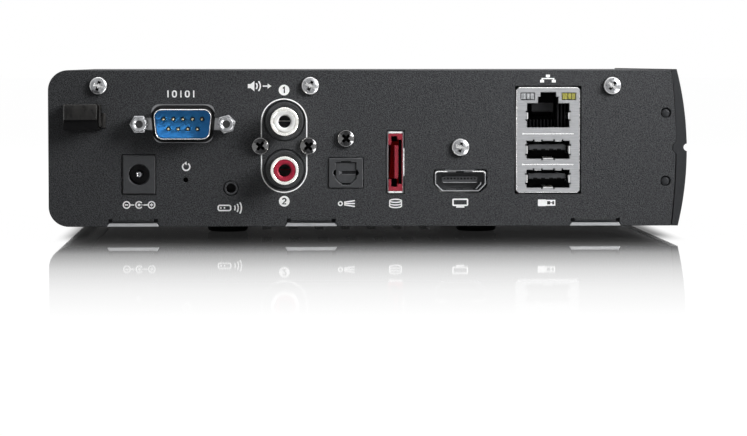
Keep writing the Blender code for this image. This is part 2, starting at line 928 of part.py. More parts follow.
def make_front_controls():
    """Power button with its switch, the status light pipe and the remote window with its receiver."""
    base = switch_base_u
    switch_top = base + switch_rise
    half = switch_side / 2
    switch = make(
        "power_switch", finishes["moulded_plastic"],
        lambda m: box(
            m, (base, switch_top), (front_d - half, front_d + half),
            (button_height - half, button_height + half),
        ),
    )
    centre = (front_d, button_height)
    bore = button_stem + 2 * seam
    bottom = switch_top - stem_depth - button_travel - seam
    cut(switch, lambda m: prism(m, circle(centre, bore, small_sides), "u", bottom, switch_top + overrun))
    seam_middle = body_width - seam_inset
    flange_top = seam_middle - seam - peg_diameter / 3
    face = body_width - button_face_inset
    radius, rim, stem = button_diameter / 2, button_flange / 2, button_stem / 2
    flange_low_u = flange_top - button_flange_thickness
    tip = switch_top - stem_depth
    profile = [
        (0.0, tip), (stem, tip), (stem, flange_low_u), (rim, flange_low_u), (rim, flange_top),
        (radius, flange_top), (radius, face - pan_edge), (radius - pan_edge, face), (0.0, face),
    ]
    make(
        "power_button", finishes["smooth_plastic"], lambda m: turned(m, profile, "u", centre),
        origin=at(face, *centre), smooth=30,
    )
    groove_floor = body_width - groove_depth
    make(
        "status_light", finishes["clear_plastic"],
        lambda m: prism(
            m, circle((front_d, waist_height), light_pipe, small_sides), "u", base, groove_floor - snug
        ),
    )
    window_face = body_width - window_face_inset
    window_back = seam_middle - window_face_inset
    disc = circle((front_d, window_height), window_diameter)
    make(
        "remote_window", finishes["smoked_plastic"],
        lambda m: prism(m, disc, "u", window_back, window_face),
    )
    side = receiver_side / 2
    receiver = make(
        "remote_receiver", finishes["moulded_plastic"],
        lambda m: box(
            m, (base, base + receiver_rise), (front_d - side, front_d + side),
            (window_height - side, window_height + side),
        ),
    )
    dome = receiver_dome / 2
    top = base + receiver_rise + receiver_dome_rise
    middle, shoulder = base + receiver_rise / 2, base + receiver_rise
    lens = [(0.0, middle), (dome, middle), (dome, shoulder), (dome / 2, top - dome / 4), (0.0, top)]
    fuse(receiver, lambda m: turned(m, lens, "u", (front_d, window_height), small_sides))


# The sockets


def make_serial_port():
    u, w = serial_place
    flange_back = inner_d + 2 * serial_wall
    flange = rounded(rectangle(serial_place, serial_flange), sheet)
    shell = make(
        "serial_shell", finishes["tinned_steel"],
        lambda m: prism(m, flange, "d", inner_d, flange_back),
    )
    outside = dee(serial_place, serial_shell, serial_slant, serial_corner)
    fuse(shell, lambda m: prism(m, outside, "d", -serial_proud, flange_back - serial_wall))
    inner = grown(serial_shell, -serial_wall)
    inner_corner = serial_corner - serial_wall
    inside = dee(serial_place, inner, serial_slant, inner_corner)
    cut(shell, lambda m: prism(m, inside, "d", -serial_proud - overrun, flange_back + overrun))
    jack_places = [(u - jack_spacing / 2, w), (u + jack_spacing / 2, w)]
    cut(shell, lambda m: screw_holes(m, jack_places, 0.0, flange_back + overrun, screw_shank + 2 * seam))

    rows = [(5, pin_rows / 2), (4, -pin_rows / 2)]
    pins = [
        (u + (k - (count - 1) / 2) * pin_pitch, w + lift) for count, lift in rows for k in range(count)
    ]
    core = dee(serial_place, grown(inner, -seam), serial_slant, inner_corner - seam)
    insulator = make(
        "serial_insulator", finishes["blue_plastic"],
        lambda m: prism(m, core, "d", serial_face, serial_insulator_back),
    )

    def pin_bores(m):
        bore = pin_diameter + 2 * seam
        for place in pins:
            prism(m, circle(place, bore, pin_sides), "d", -overrun, serial_insulator_back + overrun)

    cut(insulator, pin_bores)
    back = serial_insulator_back + seam
    contacts = make(
        "serial_contacts", finishes["gold"],
        lambda m: prism(m, rectangle(serial_place, pin_board[:2]), "d", back, back + pin_board[2]),
    )

    def pin_set(m):
        for place in pins:
            pin = circle(place, pin_diameter, pin_sides)
            prism(m, pin, "d", serial_face - pin_proud, back + pin_board[2] / 2)

    fuse(contacts, pin_set)
    for name, place, turn in zip(("left", "right"), jack_places, (math.radians(0), math.radians(15))):
        jack = make(
            f"jackscrew_{name}", finishes["bright_screw"],
            lambda m: prism(m, hexagon(place, jack_across, turn), "d", -jack_proud, -seam),
        )
        shank, thread = (circle(place, size, small_sides) for size in (screw_shank, jack_thread))
        fuse(jack, lambda m: prism(m, shank, "d", -sheet, screw_length))
        cut(jack, lambda m: prism(m, thread, "d", -jack_proud - overrun, -2 * sheet))

    start = back + pin_board[2] + seam
    rest = seat_height + ribbon_thickness / 2 + snug
    drop = ribbon_thickness
    points = [
        (start, w - drop), (start + 3 * drop, w - 2 * drop), (start + 8 * drop, (w + rest) / 2),
        (start + 10 * drop, rest + 3 * drop), (start + 14 * drop, rest), (start + 18 * drop, rest),
    ]
    half = ribbon_width / 2
    make(
        "serial_ribbon", finishes["ribbon"],
        lambda m: prism(m, strip(points, ribbon_thickness), "u", u - half, u + half),
    )


def make_power_jack():
    jack = make(
        "dc_jack", finishes["moulded_plastic"],
        lambda m: prism(m, rectangle(dc_place, dc_size), "d", -shell_proud, dc_depth),
    )
    cut(jack, lambda m: prism(m, circle(dc_place, dc_bore), "d", -overrun, dc_bore_depth))
    pin_bore = circle(dc_place, dc_pin + 2 * snug, small_sides)
    cut(jack, lambda m: prism(m, pin_bore, "d", 0.0, dc_depth + overrun))
    make(
        "dc_pin", finishes["tinned_steel"],
        lambda m: prism(m, circle(dc_place, dc_pin, small_sides), "d", dc_pin_recess, dc_depth),
    )


def make_reset():
    u, w = reset_place
    wide, deep, tall = reset_switch_size
    far = reset_near + deep
    upright = (seat_height, seat_height + tall)
    switch = make(
        "reset_switch", finishes["moulded_plastic"],
        lambda m: box(m, (u - wide / 2, u + wide / 2), (reset_near, far), upright),
    )
    bore = circle(reset_place, reset_stem + 2 * seam, small_sides)
    bottom = reset_near + reset_stem_depth + reset_travel + seam
    cut(switch, lambda m: prism(m, bore, "d", reset_near - overrun, bottom))
    make(
        "reset_button", finishes["clear_plastic"],
        lambda m: prism(
            m, circle(reset_place, reset_stem, small_sides), "d",
            reset_stem_near, reset_near + reset_stem_depth,
        ),
        origin=at(u, reset_stem_near, w), smooth=40,
    )


def make_remote_jack():
    u, w = remote_place
    wide, tall = remote_body
    upright = (seat_height, seat_height + tall)
    body = make(
        "remote_jack", finishes["moulded_plastic"],
        lambda m: box(m, (u - wide / 2, u + wide / 2), (inner_d, remote_depth), upright),
    )
    barrel, bore = (circle(remote_place, size, small_sides) for size in (remote_barrel, remote_bore))
    fuse(body, lambda m: prism(m, barrel, "d", -snug, inner_d + sheet))
    cut(body, lambda m: prism(m, bore, "d", -overrun, remote_depth - sheet))


def make_sound_sockets():
    half = sound_block[0] / 2
    depth = sound_block[1]
    upright = (seat_height, sound_heights[1] + sound_block_margin)
    block = make(
        "sound_block", finishes["moulded_plastic"],
        lambda m: box(m, (sound_u - half, sound_u + half), (inner_d, inner_d + depth), upright),
    )
    wide, tall, thick = sound_ears
    ear_middle = sound_screw_places[0][1]

    def ears(m):
        box(
            m, (sound_u - wide / 2, sound_u + wide / 2), (inner_d, inner_d + thick),
            (ear_middle - tall / 2, ear_middle + tall / 2),
        )

    def bosses(m):
        for height in sound_heights:
            prism(m, circle((sound_u, height), sound_boss), "d", boss_recess, inner_d + sheet)

    def ring_bores(m):
        for height in sound_heights:
            prism(m, circle((sound_u, height), sound_ring + 2 * snug), "d", -overrun, sound_seat)

    fuse(block, ears)
    fuse(block, bosses)
    cut(block, ring_bores)
    cut(block, lambda m: screw_holes(m, sound_screw_places, 0.0, inner_d + thick + overrun))
    names = (("lower", "red_plastic"), ("upper", "white_plastic"))
    for (name, colour), height in zip(names, sound_heights):
        centre = (sound_u, height)
        outer, bore = sound_ring / 2, sound_ring_bore / 2
        lip = serial_wall
        near, far = -sound_proud, sound_seat - snug
        ring = [
            (bore, near), (outer - lip / 2, near), (outer, near + lip), (outer, far), (bore, far),
        ]
        make(
            f"sound_ring_{name}", finishes["nickel"],
            lambda m: turned(m, ring, "d", centre), smooth=40,
        )
        outer, bore = sound_insert / 2, sound_insert_bore / 2
        near = -sound_proud + sound_insert_recess
        floor = far - sheet
        insert = [(bore, near), (outer, near), (outer, far), (0.0, far), (0.0, floor), (bore, floor)]
        make(
            f"sound_insert_{name}", finishes[colour],
            lambda m: turned(m, insert[3:4] + insert[2::-1] + insert[:3:-1], "d", centre), smooth=40,
        )


def optical_mouth_outline(by=0.0):
    (u, w) = optical_place
    wide, tall = optical_mouth[0] + 2 * by, optical_mouth[1] + 2 * by
    return chamfered((u, w), (wide, tall), optical_chamfer)


def shutter_axis():
    """Depth and height of the shutter's axle."""
    top = optical_place[1] + optical_mouth[1] / 2
    return shutter_recess + shutter_thickness / 2, top - seam - shutter_thickness / 2


def make_optical_socket():
    u, w = optical_place
    housing = make(
        "optical_housing", finishes["moulded_plastic"],
        lambda m: prism(m, rectangle(optical_place, optical_size), "d", -shell_proud, optical_depth),
    )
    ear_width_u, ear_lift, ear_thick = optical_ear
    half = ear_width_u / 2

    def ear_and_foot(m):
        box(m, (u - half, u + half), (inner_d, inner_d + ear_thick), (w, w + ear_lift))

    def foot(m):
        box(m, (u - half, u + half), (inner_d + ear_thick, optical_depth - sheet), (seat_height, w))

    def mouth(m):
        prism(m, optical_mouth_outline(), "d", -overrun, optical_cavity)

    def side_notches(m):
        notch_tall, notch_deep = optical_side_notch
        reach = optical_mouth[0] / 2 + notch_deep
        upright = (w - notch_tall / 2, w + notch_tall / 2)
        box(m, (u - reach, u + reach), (-overrun, optical_cavity), upright)

    axle_d, axle_w = shutter_axis()

    def axle_bores(m):
        reach = optical_mouth[0] / 2 + shutter_axle_reach + snug
        bore = circle((axle_d, axle_w), shutter_axle + 2 * snug, axle_sides)
        prism(m, bore, "u", u - reach, u + reach)

    pocket = emitter_side + 2 * seam

    def back(m):
        bore = circle(optical_place, optical_light_bore, small_sides)
        prism(m, bore, "d", optical_cavity - sheet, optical_depth)

    def emitter_pocket(m):
        square = rectangle(optical_place, (pocket, pocket))
        prism(m, square, "d", optical_cavity + sheet, optical_depth + overrun)

    fuse(housing, ear_and_foot)
    fuse(housing, foot)
    for build in (mouth, side_notches, axle_bores, back, emitter_pocket):
        cut(housing, build)
    cut(housing, lambda m: screw_holes(m, [optical_screw_place], 0.0, inner_d + ear_thick + overrun))

    bottom = w - optical_mouth[1] / 2 + seam
    thick = shutter_thickness / 2
    door_half = optical_mouth[0] / 2 - seam
    origin = at(u, axle_d, axle_w)

    def door(m):
        top = axle_w + thick
        left, right, slope = u - door_half, u + door_half, optical_chamfer
        outline = [
            (left + slope, bottom), (right - slope, bottom), (right, bottom + slope),
            (right, axle_w), (left, axle_w), (left, bottom + slope),
        ]
        prism(m, outline, "d", axle_d - thick, axle_d + thick)

    shutter = make("optical_shutter", finishes["moulded_plastic"], door, origin=origin)
    barrel = [(axle_d + thick * math.cos(t), axle_w + thick * math.sin(t)) for t in
              [math.tau * k / small_sides for k in range(small_sides)]]
    fuse(shutter, lambda m: prism(m, barrel, "u", u - door_half, u + door_half))
    axle_reach = optical_mouth[0] / 2 + shutter_axle_reach
    fuse(
        shutter,
        lambda m: prism(m, circle((axle_d, axle_w), shutter_axle, 8), "u", u - axle_reach, u + axle_reach),
    )
    side = emitter_side
    start = optical_cavity + sheet + seam
    make(
        "optical_emitter", finishes["clear_plastic"],
        lambda m: prism(m, rectangle(optical_place, (side, side)), "d", start, start + emitter_depth),
    )


def make_esata():
    shield = make(
        "esata_shield", finishes["tinned_steel"],
        lambda m: prism(m, rectangle(esata_place, esata_size), "d", -shell_proud, esata_depth),
    )
    inner = grown(esata_size, -esata_wall)
    cut(shield, lambda m: prism(m, rectangle(esata_place, inner), "d", -overrun, esata_depth + overrun))
    body = grown(inner, -snug)
    insulator = make(
        "esata_insulator", finishes["red_plastic"],
        lambda m: prism(m, rectangle(esata_place, body), "d", snug, esata_depth),
    )
    back = esata_depth - 2 * sheet
    cut(insulator, lambda m: prism(m, rectangle(esata_place, esata_mouth), "d", -overrun, back))
    fuse(insulator, lambda m: prism(m, rectangle(esata_place, esata_tongue), "d", sheet, back + sheet))


def make_hdmi():
    inner = grown(hdmi_size, -hdmi_wall)
    outside, inside, plug = (
        chamfered(hdmi_place, size, hdmi_chamfer) for size in (hdmi_size, inner, grown(inner, -snug))
    )
    shield = make(
        "hdmi_shield", finishes["tinned_steel"],
        lambda m: prism(m, outside, "d", -shell_proud, hdmi_depth),
    )
    wide, thick, lift = hdmi_ear
    u, w = hdmi_place
    upright = (w + hdmi_size[1] / 2 - hdmi_wall, w + lift)
    fuse(shield, lambda m: box(m, (u - wide / 2, u + wide / 2), (inner_d, inner_d + thick), upright))
    cut(shield, lambda m: prism(m, inside, "d", -overrun, hdmi_depth + overrun))
    cut(shield, lambda m: screw_holes(m, [hdmi_screw_place], 0.0, inner_d + thick + overrun))
    base, back = hdmi_depth - hdmi_back, hdmi_depth - hdmi_back / 2
    tongue = make(
        "hdmi_insulator", finishes["moulded_plastic"],
        lambda m: prism(m, plug, "d", base, hdmi_depth),
    )
    fuse(tongue, lambda m: prism(m, rectangle(hdmi_place, hdmi_tongue), "d", sheet, back))


def net_outline(by=0.0):
    """The network socket's mouth with its two-step latch key."""
    u = stack_place[0]
    half, tall = net_mouth[0] / 2 + by, net_mouth[1] / 2
    top = net_centre + tall + by
    (wide, rise), (narrow, lift) = net_keys
    wide, narrow = wide / 2 + by, narrow / 2 + by
    bottom, step, crown = net_centre - tall - by, top + rise, top + rise + lift
    right = [(half, bottom), (half, top), (wide, top), (wide, step), (narrow, step), (narrow, crown)]
    return [(u + a, b) for a, b in right] + [(u - a, b) for a, b in reversed(right)]


def make_stack():
    """A network socket over two serial-bus sockets in one shield."""
    u, w = stack_place
    back = stack_depth
    outside = chamfered(stack_place, stack_size, stack_chamfer, stack_chamfer)
    shield = make(
        "stack_shield", finishes["tinned_steel"],
        lambda m: prism(m, outside, "d", -shell_proud, back),
    )
    inner = grown(stack_size, -stack_wall)
    front = -shell_proud + stack_wall
    cut(shield, lambda m: prism(m, rectangle(stack_place, inner), "d", front, back + overrun))

    light_places = [(u - light_offset, light_height), (u + light_offset, light_height)]

    def mouths(m):
        prism(m, net_outline(), "d", -overrun, front + overrun)
        for height in bus_centres:
            prism(m, rectangle((u, height), bus_mouth), "d", -overrun, front + overrun)
        for place in light_places:
            prism(m, rectangle(place, light_size), "d", -overrun, front + overrun)

    cut(shield, mouths)

    near = front + snug
    wide = inner[0] - 2 * snug
    inner_top = w + inner[1] / 2 - snug
    net_low = inner_top - net_block
    insert = make(
        "network_insert", finishes["moulded_plastic"],
        lambda m: box(m, (u - wide / 2, u + wide / 2), (near, back - sheet), (net_low, inner_top)),
    )
    cut(insert, lambda m: prism(m, net_outline(snug / 2), "d", -overrun, near + net_depth))

    def light_pockets(m):
        for place in light_places:
            prism(m, rectangle(place, grown(light_size, snug / 2)), "d", -overrun, near + light_depth)

    cut(insert, light_pockets)
    light_face, light_back = -shell_proud + snug / 2, near + light_depth - snug
    for name, place in zip(("left", "right"), light_places):
        finish = finishes["clear_plastic" if name == "left" else "amber_plastic"]
        lens = rectangle(place, grown(light_size, -snug))
        make(
            f"network_light_{name}", finish,
            lambda m: prism(m, lens, "d", light_face, light_back),
        )
    half, floor = bus_block / 2, near + bus_depth
    for name, height in zip(("lower", "upper"), bus_centres):
        bus = make(
            f"bus_insert_{name}", finishes["moulded_plastic"],
            lambda m: box(
                m, (u - wide / 2, u + wide / 2), (near, back - sheet), (height - half, height + half)
            ),
        )
        mouth = rectangle((u, height), grown(bus_mouth, snug / 2))
        tongue = rectangle((u, height + bus_tongue_lift), bus_tongue)
        cut(bus, lambda m: prism(m, mouth, "d", -overrun, floor))
        fuse(bus, lambda m: prism(m, tongue, "d", near + sheet, floor + sheet))


# Build the whole object

clear_scene()
finishes = {
    "coated_steel": material("coated_steel", (0.045, 0.047, 0.050), 0.55),
    "smooth_plastic": material("smooth_plastic", (0.050, 0.050, 0.053), 0.38),
    "moulded_plastic": material("moulded_plastic", (0.018, 0.018, 0.020), 0.45),
    "rubber": material("rubber", (0.030, 0.030, 0.032), 0.85),
    "bright_screw": material("bright_screw", (0.62, 0.62, 0.62), 0.28, 1.0),
    "dark_screw": material("dark_screw", (0.09, 0.09, 0.10), 0.35, 1.0),
    "tinned_steel": material("tinned_steel", (0.60, 0.60, 0.60), 0.32, 1.0),
    "nickel": material("nickel", (0.66, 0.65, 0.63), 0.22, 1.0),
    "gold": material("gold", (0.80, 0.58, 0.22), 0.28, 1.0),
    "blue_plastic": material("blue_plastic", (0.015, 0.115, 0.36), 0.42),
    "red_plastic": material("red_plastic", (0.30, 0.016, 0.022), 0.42),
    "white_plastic": material("white_plastic", (0.76, 0.76, 0.74), 0.42),
    "clear_plastic": material("clear_plastic", (0.45, 0.46, 0.47), 0.25),
    "amber_plastic": material("amber_plastic", (0.36, 0.36, 0.13), 0.30),
    "smoked_plastic": material("smoked_plastic", (0.020, 0.008, 0.012), 0.12),
    "board": material("board", (0.010, 0.085, 0.035), 0.48),
    "chip": material("chip", (0.014, 0.014, 0.015), 0.50),
    "aluminium": material("aluminium", (0.55, 0.56, 0.57), 0.42, 1.0),
    "ribbon": material("ribbon", (0.42, 0.43, 0.45), 0.50),
}
make_port_panel()
make_cover()
make_base()
make_end_panel()
make_bezel()
make_feet()
make_clip()
make_screws()
make_main_board()
make_front_boards()
make_front_controls()
make_serial_port()
make_power_jack()
make_reset()
make_remote_jack()
make_sound_sockets()
make_optical_socket()
make_esata()
make_hdmi()
make_stack()
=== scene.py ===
import bpy
import bmesh
import json
import math
from mathutils import Matrix, Vector
from mathutils.geometry import tessellate_polygon


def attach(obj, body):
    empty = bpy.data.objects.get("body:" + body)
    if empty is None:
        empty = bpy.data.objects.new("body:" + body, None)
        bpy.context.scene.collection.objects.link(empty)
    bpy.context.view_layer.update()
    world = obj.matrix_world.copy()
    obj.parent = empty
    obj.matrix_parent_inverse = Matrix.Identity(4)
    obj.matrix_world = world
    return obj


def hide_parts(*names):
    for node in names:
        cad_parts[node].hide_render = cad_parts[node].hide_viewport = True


# A small network media player, seen from its connector side. Lengths are in millimetres:
# u runs across the connector panel from its left edge, d inward from the panel's face,
# w up from the panel's lower edge.

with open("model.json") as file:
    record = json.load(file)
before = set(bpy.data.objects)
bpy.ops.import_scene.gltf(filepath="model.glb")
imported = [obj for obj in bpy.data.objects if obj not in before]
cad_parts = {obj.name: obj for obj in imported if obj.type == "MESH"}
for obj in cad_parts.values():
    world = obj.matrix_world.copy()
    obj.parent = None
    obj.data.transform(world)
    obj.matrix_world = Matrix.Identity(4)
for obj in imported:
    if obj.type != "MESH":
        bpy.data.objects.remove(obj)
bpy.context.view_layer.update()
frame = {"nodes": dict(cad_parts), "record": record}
bodyOf = {node: body for body, nodes in frame["record"]["behaviour"]["bodies"].items() for node in nodes}
print("frame loaded:", len(bodyOf), "nodes")

origin = {"left": -92.5, "face": -61.85, "underside": 3.0}
casing = {"width": 185.0, "height": 45.2, "depth": 130.0, "sheet": 1.0, "corner": 5.8, "seam": 0.3}


def at(u, d, w):
    return Vector((origin["left"] + u, origin["face"] + d, origin["underside"] + w)) / 1000


turnTo = {
    "u": lambda a, b, c: at(c, a, b),  # outline in d and w
    "d": lambda a, b, c: at(a, c, b),  # outline in u and w
    "w": lambda a, b, c: at(a, b, c),  # outline in u and d
}


# Outlines are lists of two-number points

def shifted(centre, points):
    return [(centre[0] + x, centre[1] + y) for x, y in points]


def bothSides(u, points):
    # points beside u, then their mirror images in reverse
    return [(u + x, z) for x, z in points] + [(u - x, z) for x, z in points[::-1]]


def rounded(points, radii, steps=8):
    radii = radii if isinstance(radii, list) else [radii] * len(points)
    made = []
    for k, radius in enumerate(radii):
        here = Vector(points[k])
        if not radius:
            made.append(tuple(here))
            continue
        before = (Vector(points[k - 1]) - here).normalized()
        after = (Vector(points[(k + 1) % len(points)]) - here).normalized()
        half = before.angle(after) / 2
        centre = here + (before + after).normalized() * (radius / math.sin(half))
        start = here + before * (radius / math.tan(half)) - centre
        finish = here + after * (radius / math.tan(half)) - centre
        sweep = start.angle_signed(finish)
        made += [tuple(centre + Matrix.Rotation(-sweep * s / steps, 2) @ start) for s in range(steps + 1)]
    return made


def dee(centre, size, slant, corner=0.0, steps=8):
    # a rectangle with its lower side shorter by the slant at each end
    (a, b), wide, tall = centre, size[0] / 2, size[1] / 2
    points = [(a - wide + slant, b - tall), (a + wide - slant, b - tall), (a + wide, b + tall), (a - wide, b + tall)]
    return rounded(points, corner, steps) if corner else points


def rectangle(centre, size, corner=0.0, steps=5):
    return dee(centre, size, 0.0, corner, steps)


def lowCut(centre, size, low, high=0.0, corner=0.0):
    # a rectangle with cut lower corners, and cut upper ones where asked
    (a, b), wide, tall = centre, size[0] / 2, size[1] / 2
    top = [(wide, b + tall - high), (wide - high, b + tall)] if high else [(wide, b + tall)]
    points = bothSides(a, [(wide - low, b - tall), (wide, b - tall + low)] + top)
    return rounded(points, corner, 3) if corner else points


def circle(centre, diameter, sides=40, turn=0.0):
    angles = [math.tau * k / sides + turn for k in range(sides)]
    return [(centre[0] + diameter / 2 * math.cos(t), centre[1] + diameter / 2 * math.sin(t)) for t in angles]


def arc(centre, radius, start, finish, steps=6, squash=1.0):
    turns = [math.radians(start + (finish - start) * k / steps) for k in range(steps + 1)]
    return [(centre[0] + radius * math.cos(t), centre[1] + squash * radius * math.sin(t)) for t in turns]


def arcBetween(low, middle, high, steps):
    (ax, ay), (bx, by), (cx, cy) = low, middle, high
    cross = 2 * (ax * (by - cy) + bx * (cy - ay) + cx * (ay - by))
    sums = [x * x + y * y for x, y in (low, middle, high)]
    ux = (sums[0] * (by - cy) + sums[1] * (cy - ay) + sums[2] * (ay - by)) / cross
    uy = (sums[0] * (cx - bx) + sums[1] * (ax - cx) + sums[2] * (bx - ax)) / cross
    start, finish = (math.degrees(math.atan2(y - uy, x - ux)) for x, y in (low, high))
    return arc((ux, uy), math.hypot(ax - ux, ay - uy), start, finish, steps)


def ordered(points, wise):
    area = sum(a[0] * b[1] - b[0] * a[1] for a, b in zip(points, points[1:] + points[:1]))
    return points if (area > 0) == wise else points[::-1]


def inset(points, by):
    # every edge moved to its left by the same step
    made = []
    for k, here in enumerate(points):
        before, after = points[k - 1], points[(k + 1) % len(points)]
        one = Vector((before[1] - here[1], here[0] - before[0])).normalized()
        two = Vector((here[1] - after[1], after[0] - here[0])).normalized()
        miter = (one + two) / max(1 + one.dot(two), 0.3)
        made.append((here[0] + by * miter.x, here[1] + by * miter.y))
    return made


def stroke(points, width, closed=False):
    # a line of even width as an outline, and its hole where it is closed
    half = width / 2
    if closed:
        loop = ordered(list(points), True)
        return inset(loop, -half), [inset(loop, half)]
    left, right = [], []
    for k, here in enumerate(points):
        here = Vector(here)
        one = (here - Vector(points[k - 1])).normalized() if k else None
        two = (Vector(points[k + 1]) - here).normalized() if k + 1 < len(points) else None
        one, two = one or two, two or one
        normals = [Vector((-t.y, t.x)) for t in (one, two)]
        miter = (normals[0] + normals[1]) / max(1 + normals[0].dot(normals[1]), 0.5)
        left.append(tuple(here + miter * half))
        right.append(tuple(here - miter * half))
    return left + right[::-1], []


# Each shape below is a function that adds itself to a bmesh

def bridge(bm, one, two):
    for k in range(len(one)):
        n = (k + 1) % len(one)
        bm.faces.new((one[k], one[n], two[n], two[k]))


def slab(outline, low, high, holes=(), rim=0.0, backRim=0.0, axis="d"):
    loops = [ordered(list(outline), True)] + [ordered(list(hole), False) for hole in holes]
    levels = ([(rim, low), (0.0, low + rim)] if rim else [(0.0, low)]) + (
        [(0.0, high - backRim), (backRim, high)] if backRim else [(0.0, high)])
    flats = [[inset(loop, by) if by else loop for loop in loops] for by, _ in levels]

    def add(bm):
        rings = [[[bm.verts.new(turnTo[axis](a, b, depth)) for a, b in loop] for loop in flat]
                 for flat, (_, depth) in zip(flats, levels)]
        for one, two in zip(rings, rings[1:]):
            for near, far in zip(one, two):
                bridge(bm, near, far)
        for k in (0, -1):
            verts = [v for loop in rings[k] for v in loop]
            for triangle in tessellate_polygon([[Vector((a, b, 0.0)) for a, b in loop] for loop in flats[k]]):
                if len(set(triangle)) == 3:
                    bm.faces.new([verts[i] for i in triangle])
    return add


def block(us, ds, ws, rim=0.0):
    return slab(rectangle(((us[0] + us[1]) / 2, (ws[0] + ws[1]) / 2), (us[1] - us[0], ws[1] - ws[0])), *ds, rim=rim)


def lathe(profile, centre, sides=48, closed=False, axis="d"):
    # profile: (radius, place along the axis); a radius of zero is a pole
    def add(bm):
        rings = [[bm.verts.new(turnTo[axis](a, b, c)) for a, b in (
            circle(centre, 2 * radius, sides) if radius else [centre])] for radius, c in profile]
        for one, two in zip(rings, rings[1:] + rings[:1] if closed else rings[1:]):
            for k in range(sides):
                n = (k + 1) % sides
                corners = list(dict.fromkeys((
                    one[k % len(one)], one[n % len(one)], two[n % len(two)], two[k % len(two)])))
                if len(corners) > 2:
                    bm.faces.new(corners)
    return add


def walls(shape, levels):
    # an open tube: shape(by) gives its outline at each (by, depth)
    def add(bm):
        rings = [[bm.verts.new(at(a, d, b)) for a, b in shape(by)] for by, d in levels]
        for one, two in zip(rings, rings[1:]):
            bridge(bm, one, two)
    return add


def nodeShape(node):
    def add(bm):
        bm.from_mesh(frame["nodes"][node].data)
        bmesh.ops.remove_doubles(bm, verts=bm.verts, dist=1e-6)
        bmesh.ops.dissolve_limit(bm, angle_limit=math.radians(0.5), verts=bm.verts, edges=bm.edges)
    return add


def atOrigin(bm):
    # what was built round the panel's point (0, 0, 0) moves to the world's origin
    bmesh.ops.translate(bm, verts=bm.verts, vec=-at(0, 0, 0))


def meshOf(name, parts):
    bm = bmesh.new()
    for part in parts:
        part(bm)
    bmesh.ops.remove_doubles(bm, verts=bm.verts, dist=1e-7)
    bmesh.ops.recalc_face_normals(bm, faces=bm.faces)
    mesh = bpy.data.meshes.new(name)
    bm.to_mesh(mesh)
    bm.free()
    return mesh


def toObject(name, mesh, smooth):
    mesh.shade_smooth()
    mesh.set_sharp_from_angle(angle=math.radians(smooth))
    made = bpy.data.objects.new(name, mesh)
    bpy.context.scene.collection.objects.link(made)
    return made


def evaluated(holder):
    bpy.context.view_layer.update()
    return bpy.data.meshes.new_from_object(holder.evaluated_get(bpy.context.evaluated_depsgraph_get()))


def asPiece(name, mesh, materials, slot, stands=(), body="casing", smooth=30):
    for material in materials if isinstance(materials, list) else [materials]:
        mesh.materials.append(material)
    piece = toObject(name, mesh, smooth)
    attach(piece, body)
    if stands:
        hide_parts(*stands)
    return piece


def toPiece(name, materials, parts, slot, stands=(), **more):
    return asPiece(name, meshOf(name, parts), materials, slot, stands, **more)


def refined(node, materials, rim, steps, slot, smooth=30, name=None):
    # the node's own shape with its edges rounded
    first, *rest = node.split("_")
    name = name or first + "".join(word.capitalize() for word in rest)
    piece = toPiece(name, materials, [nodeShape(node)], slot, [node], body=bodyOf[node], smooth=smooth)
    bevel = piece.modifiers.new("rim", "BEVEL")
    bevel.width, bevel.segments = rim / 1000, steps
    bevel.limit_method, bevel.angle_limit = "ANGLE", math.radians(35)
    bevel.harden_normals = True
    return piece


def setFinish(piece, test):
    # the second material goes where the test of a face's middle (u, d, w) and its normal says
    for polygon in piece.data.polygons:
        middle = (polygon.center - at(0, 0, 0)) * 1000
        polygon.material_index = int(test(middle, polygon.normal))


# Materials

def toLinear(code):
    channels = [int(code[k:k + 2], 16) / 255 for k in (1, 3, 5)]
    return (*[c / 12.92 if c <= 0.04045 else ((c + 0.055) / 1.055) ** 2.4 for c in channels], 1.0)


def addNode(tree, kind, inputs=None, **settings):
    node = tree.nodes.new(kind)
    for key, value in settings.items():
        setattr(node, key, value)
    for key, value in (inputs or {}).items():
        if isinstance(value, bpy.types.NodeSocket):
            tree.links.new(value, node.inputs[key])
        else:
            node.inputs[key].default_value = value
    return node


def reckon(tree, operation, a, b=0.0, **settings):
    return addNode(tree, "ShaderNodeMath", {0: a, 1: b}, operation=operation, **settings).outputs[0]


def ranged(tree, value, lows=(0.0, 1.0), highs=(0.0, 1.0), **settings):
    names = ("Value", "From Min", "From Max", "To Min", "To Max")
    return addNode(tree, "ShaderNodeMapRange", dict(zip(names, (value, *lows, *highs))), **settings).outputs["Result"]


def grained(label, dark, light, size, rough, bump=0.1, depth=0.01, metallic=0.0, ior=None, specular=None,
           detail=3.0, stretch=None):
    # noise of a grain size in millimetres: two colours, a bump of that depth, and uneven gloss
    made = bpy.data.materials.new(label)
    made.use_nodes = True
    tree = made.node_tree
    shader = tree.nodes["Principled BSDF"]
    for key, value in (("Metallic", metallic), ("IOR", ior), ("Specular IOR Level", specular)):
        if value is not None:
            shader.inputs[key].default_value = value
    place = addNode(tree, "ShaderNodeTexCoord").outputs["Object"]
    if stretch:
        place = addNode(tree, "ShaderNodeMapping", {"Vector": place, "Scale": stretch}).outputs["Vector"]
    noise = addNode(tree, "ShaderNodeTexNoise", {
        "Vector": place, "Scale": 1000 / size, "Detail": detail, "Roughness": 0.6})
    factor = ranged(tree, noise.outputs[0], (0.3, 0.7))
    mix = addNode(tree, "ShaderNodeMix", {0: factor, 6: toLinear(dark), 7: toLinear(light)}, data_type="RGBA")
    lift = addNode(tree, "ShaderNodeBump", {"Strength": bump, "Distance": depth / 1000, "Height": factor})
    for socket, key in ((mix.outputs[2], "Base Color"), (lift.outputs["Normal"], "Normal"),
                        (ranged(tree, factor, highs=rough), "Roughness")):
        tree.links.new(socket, shader.inputs[key])
    return made


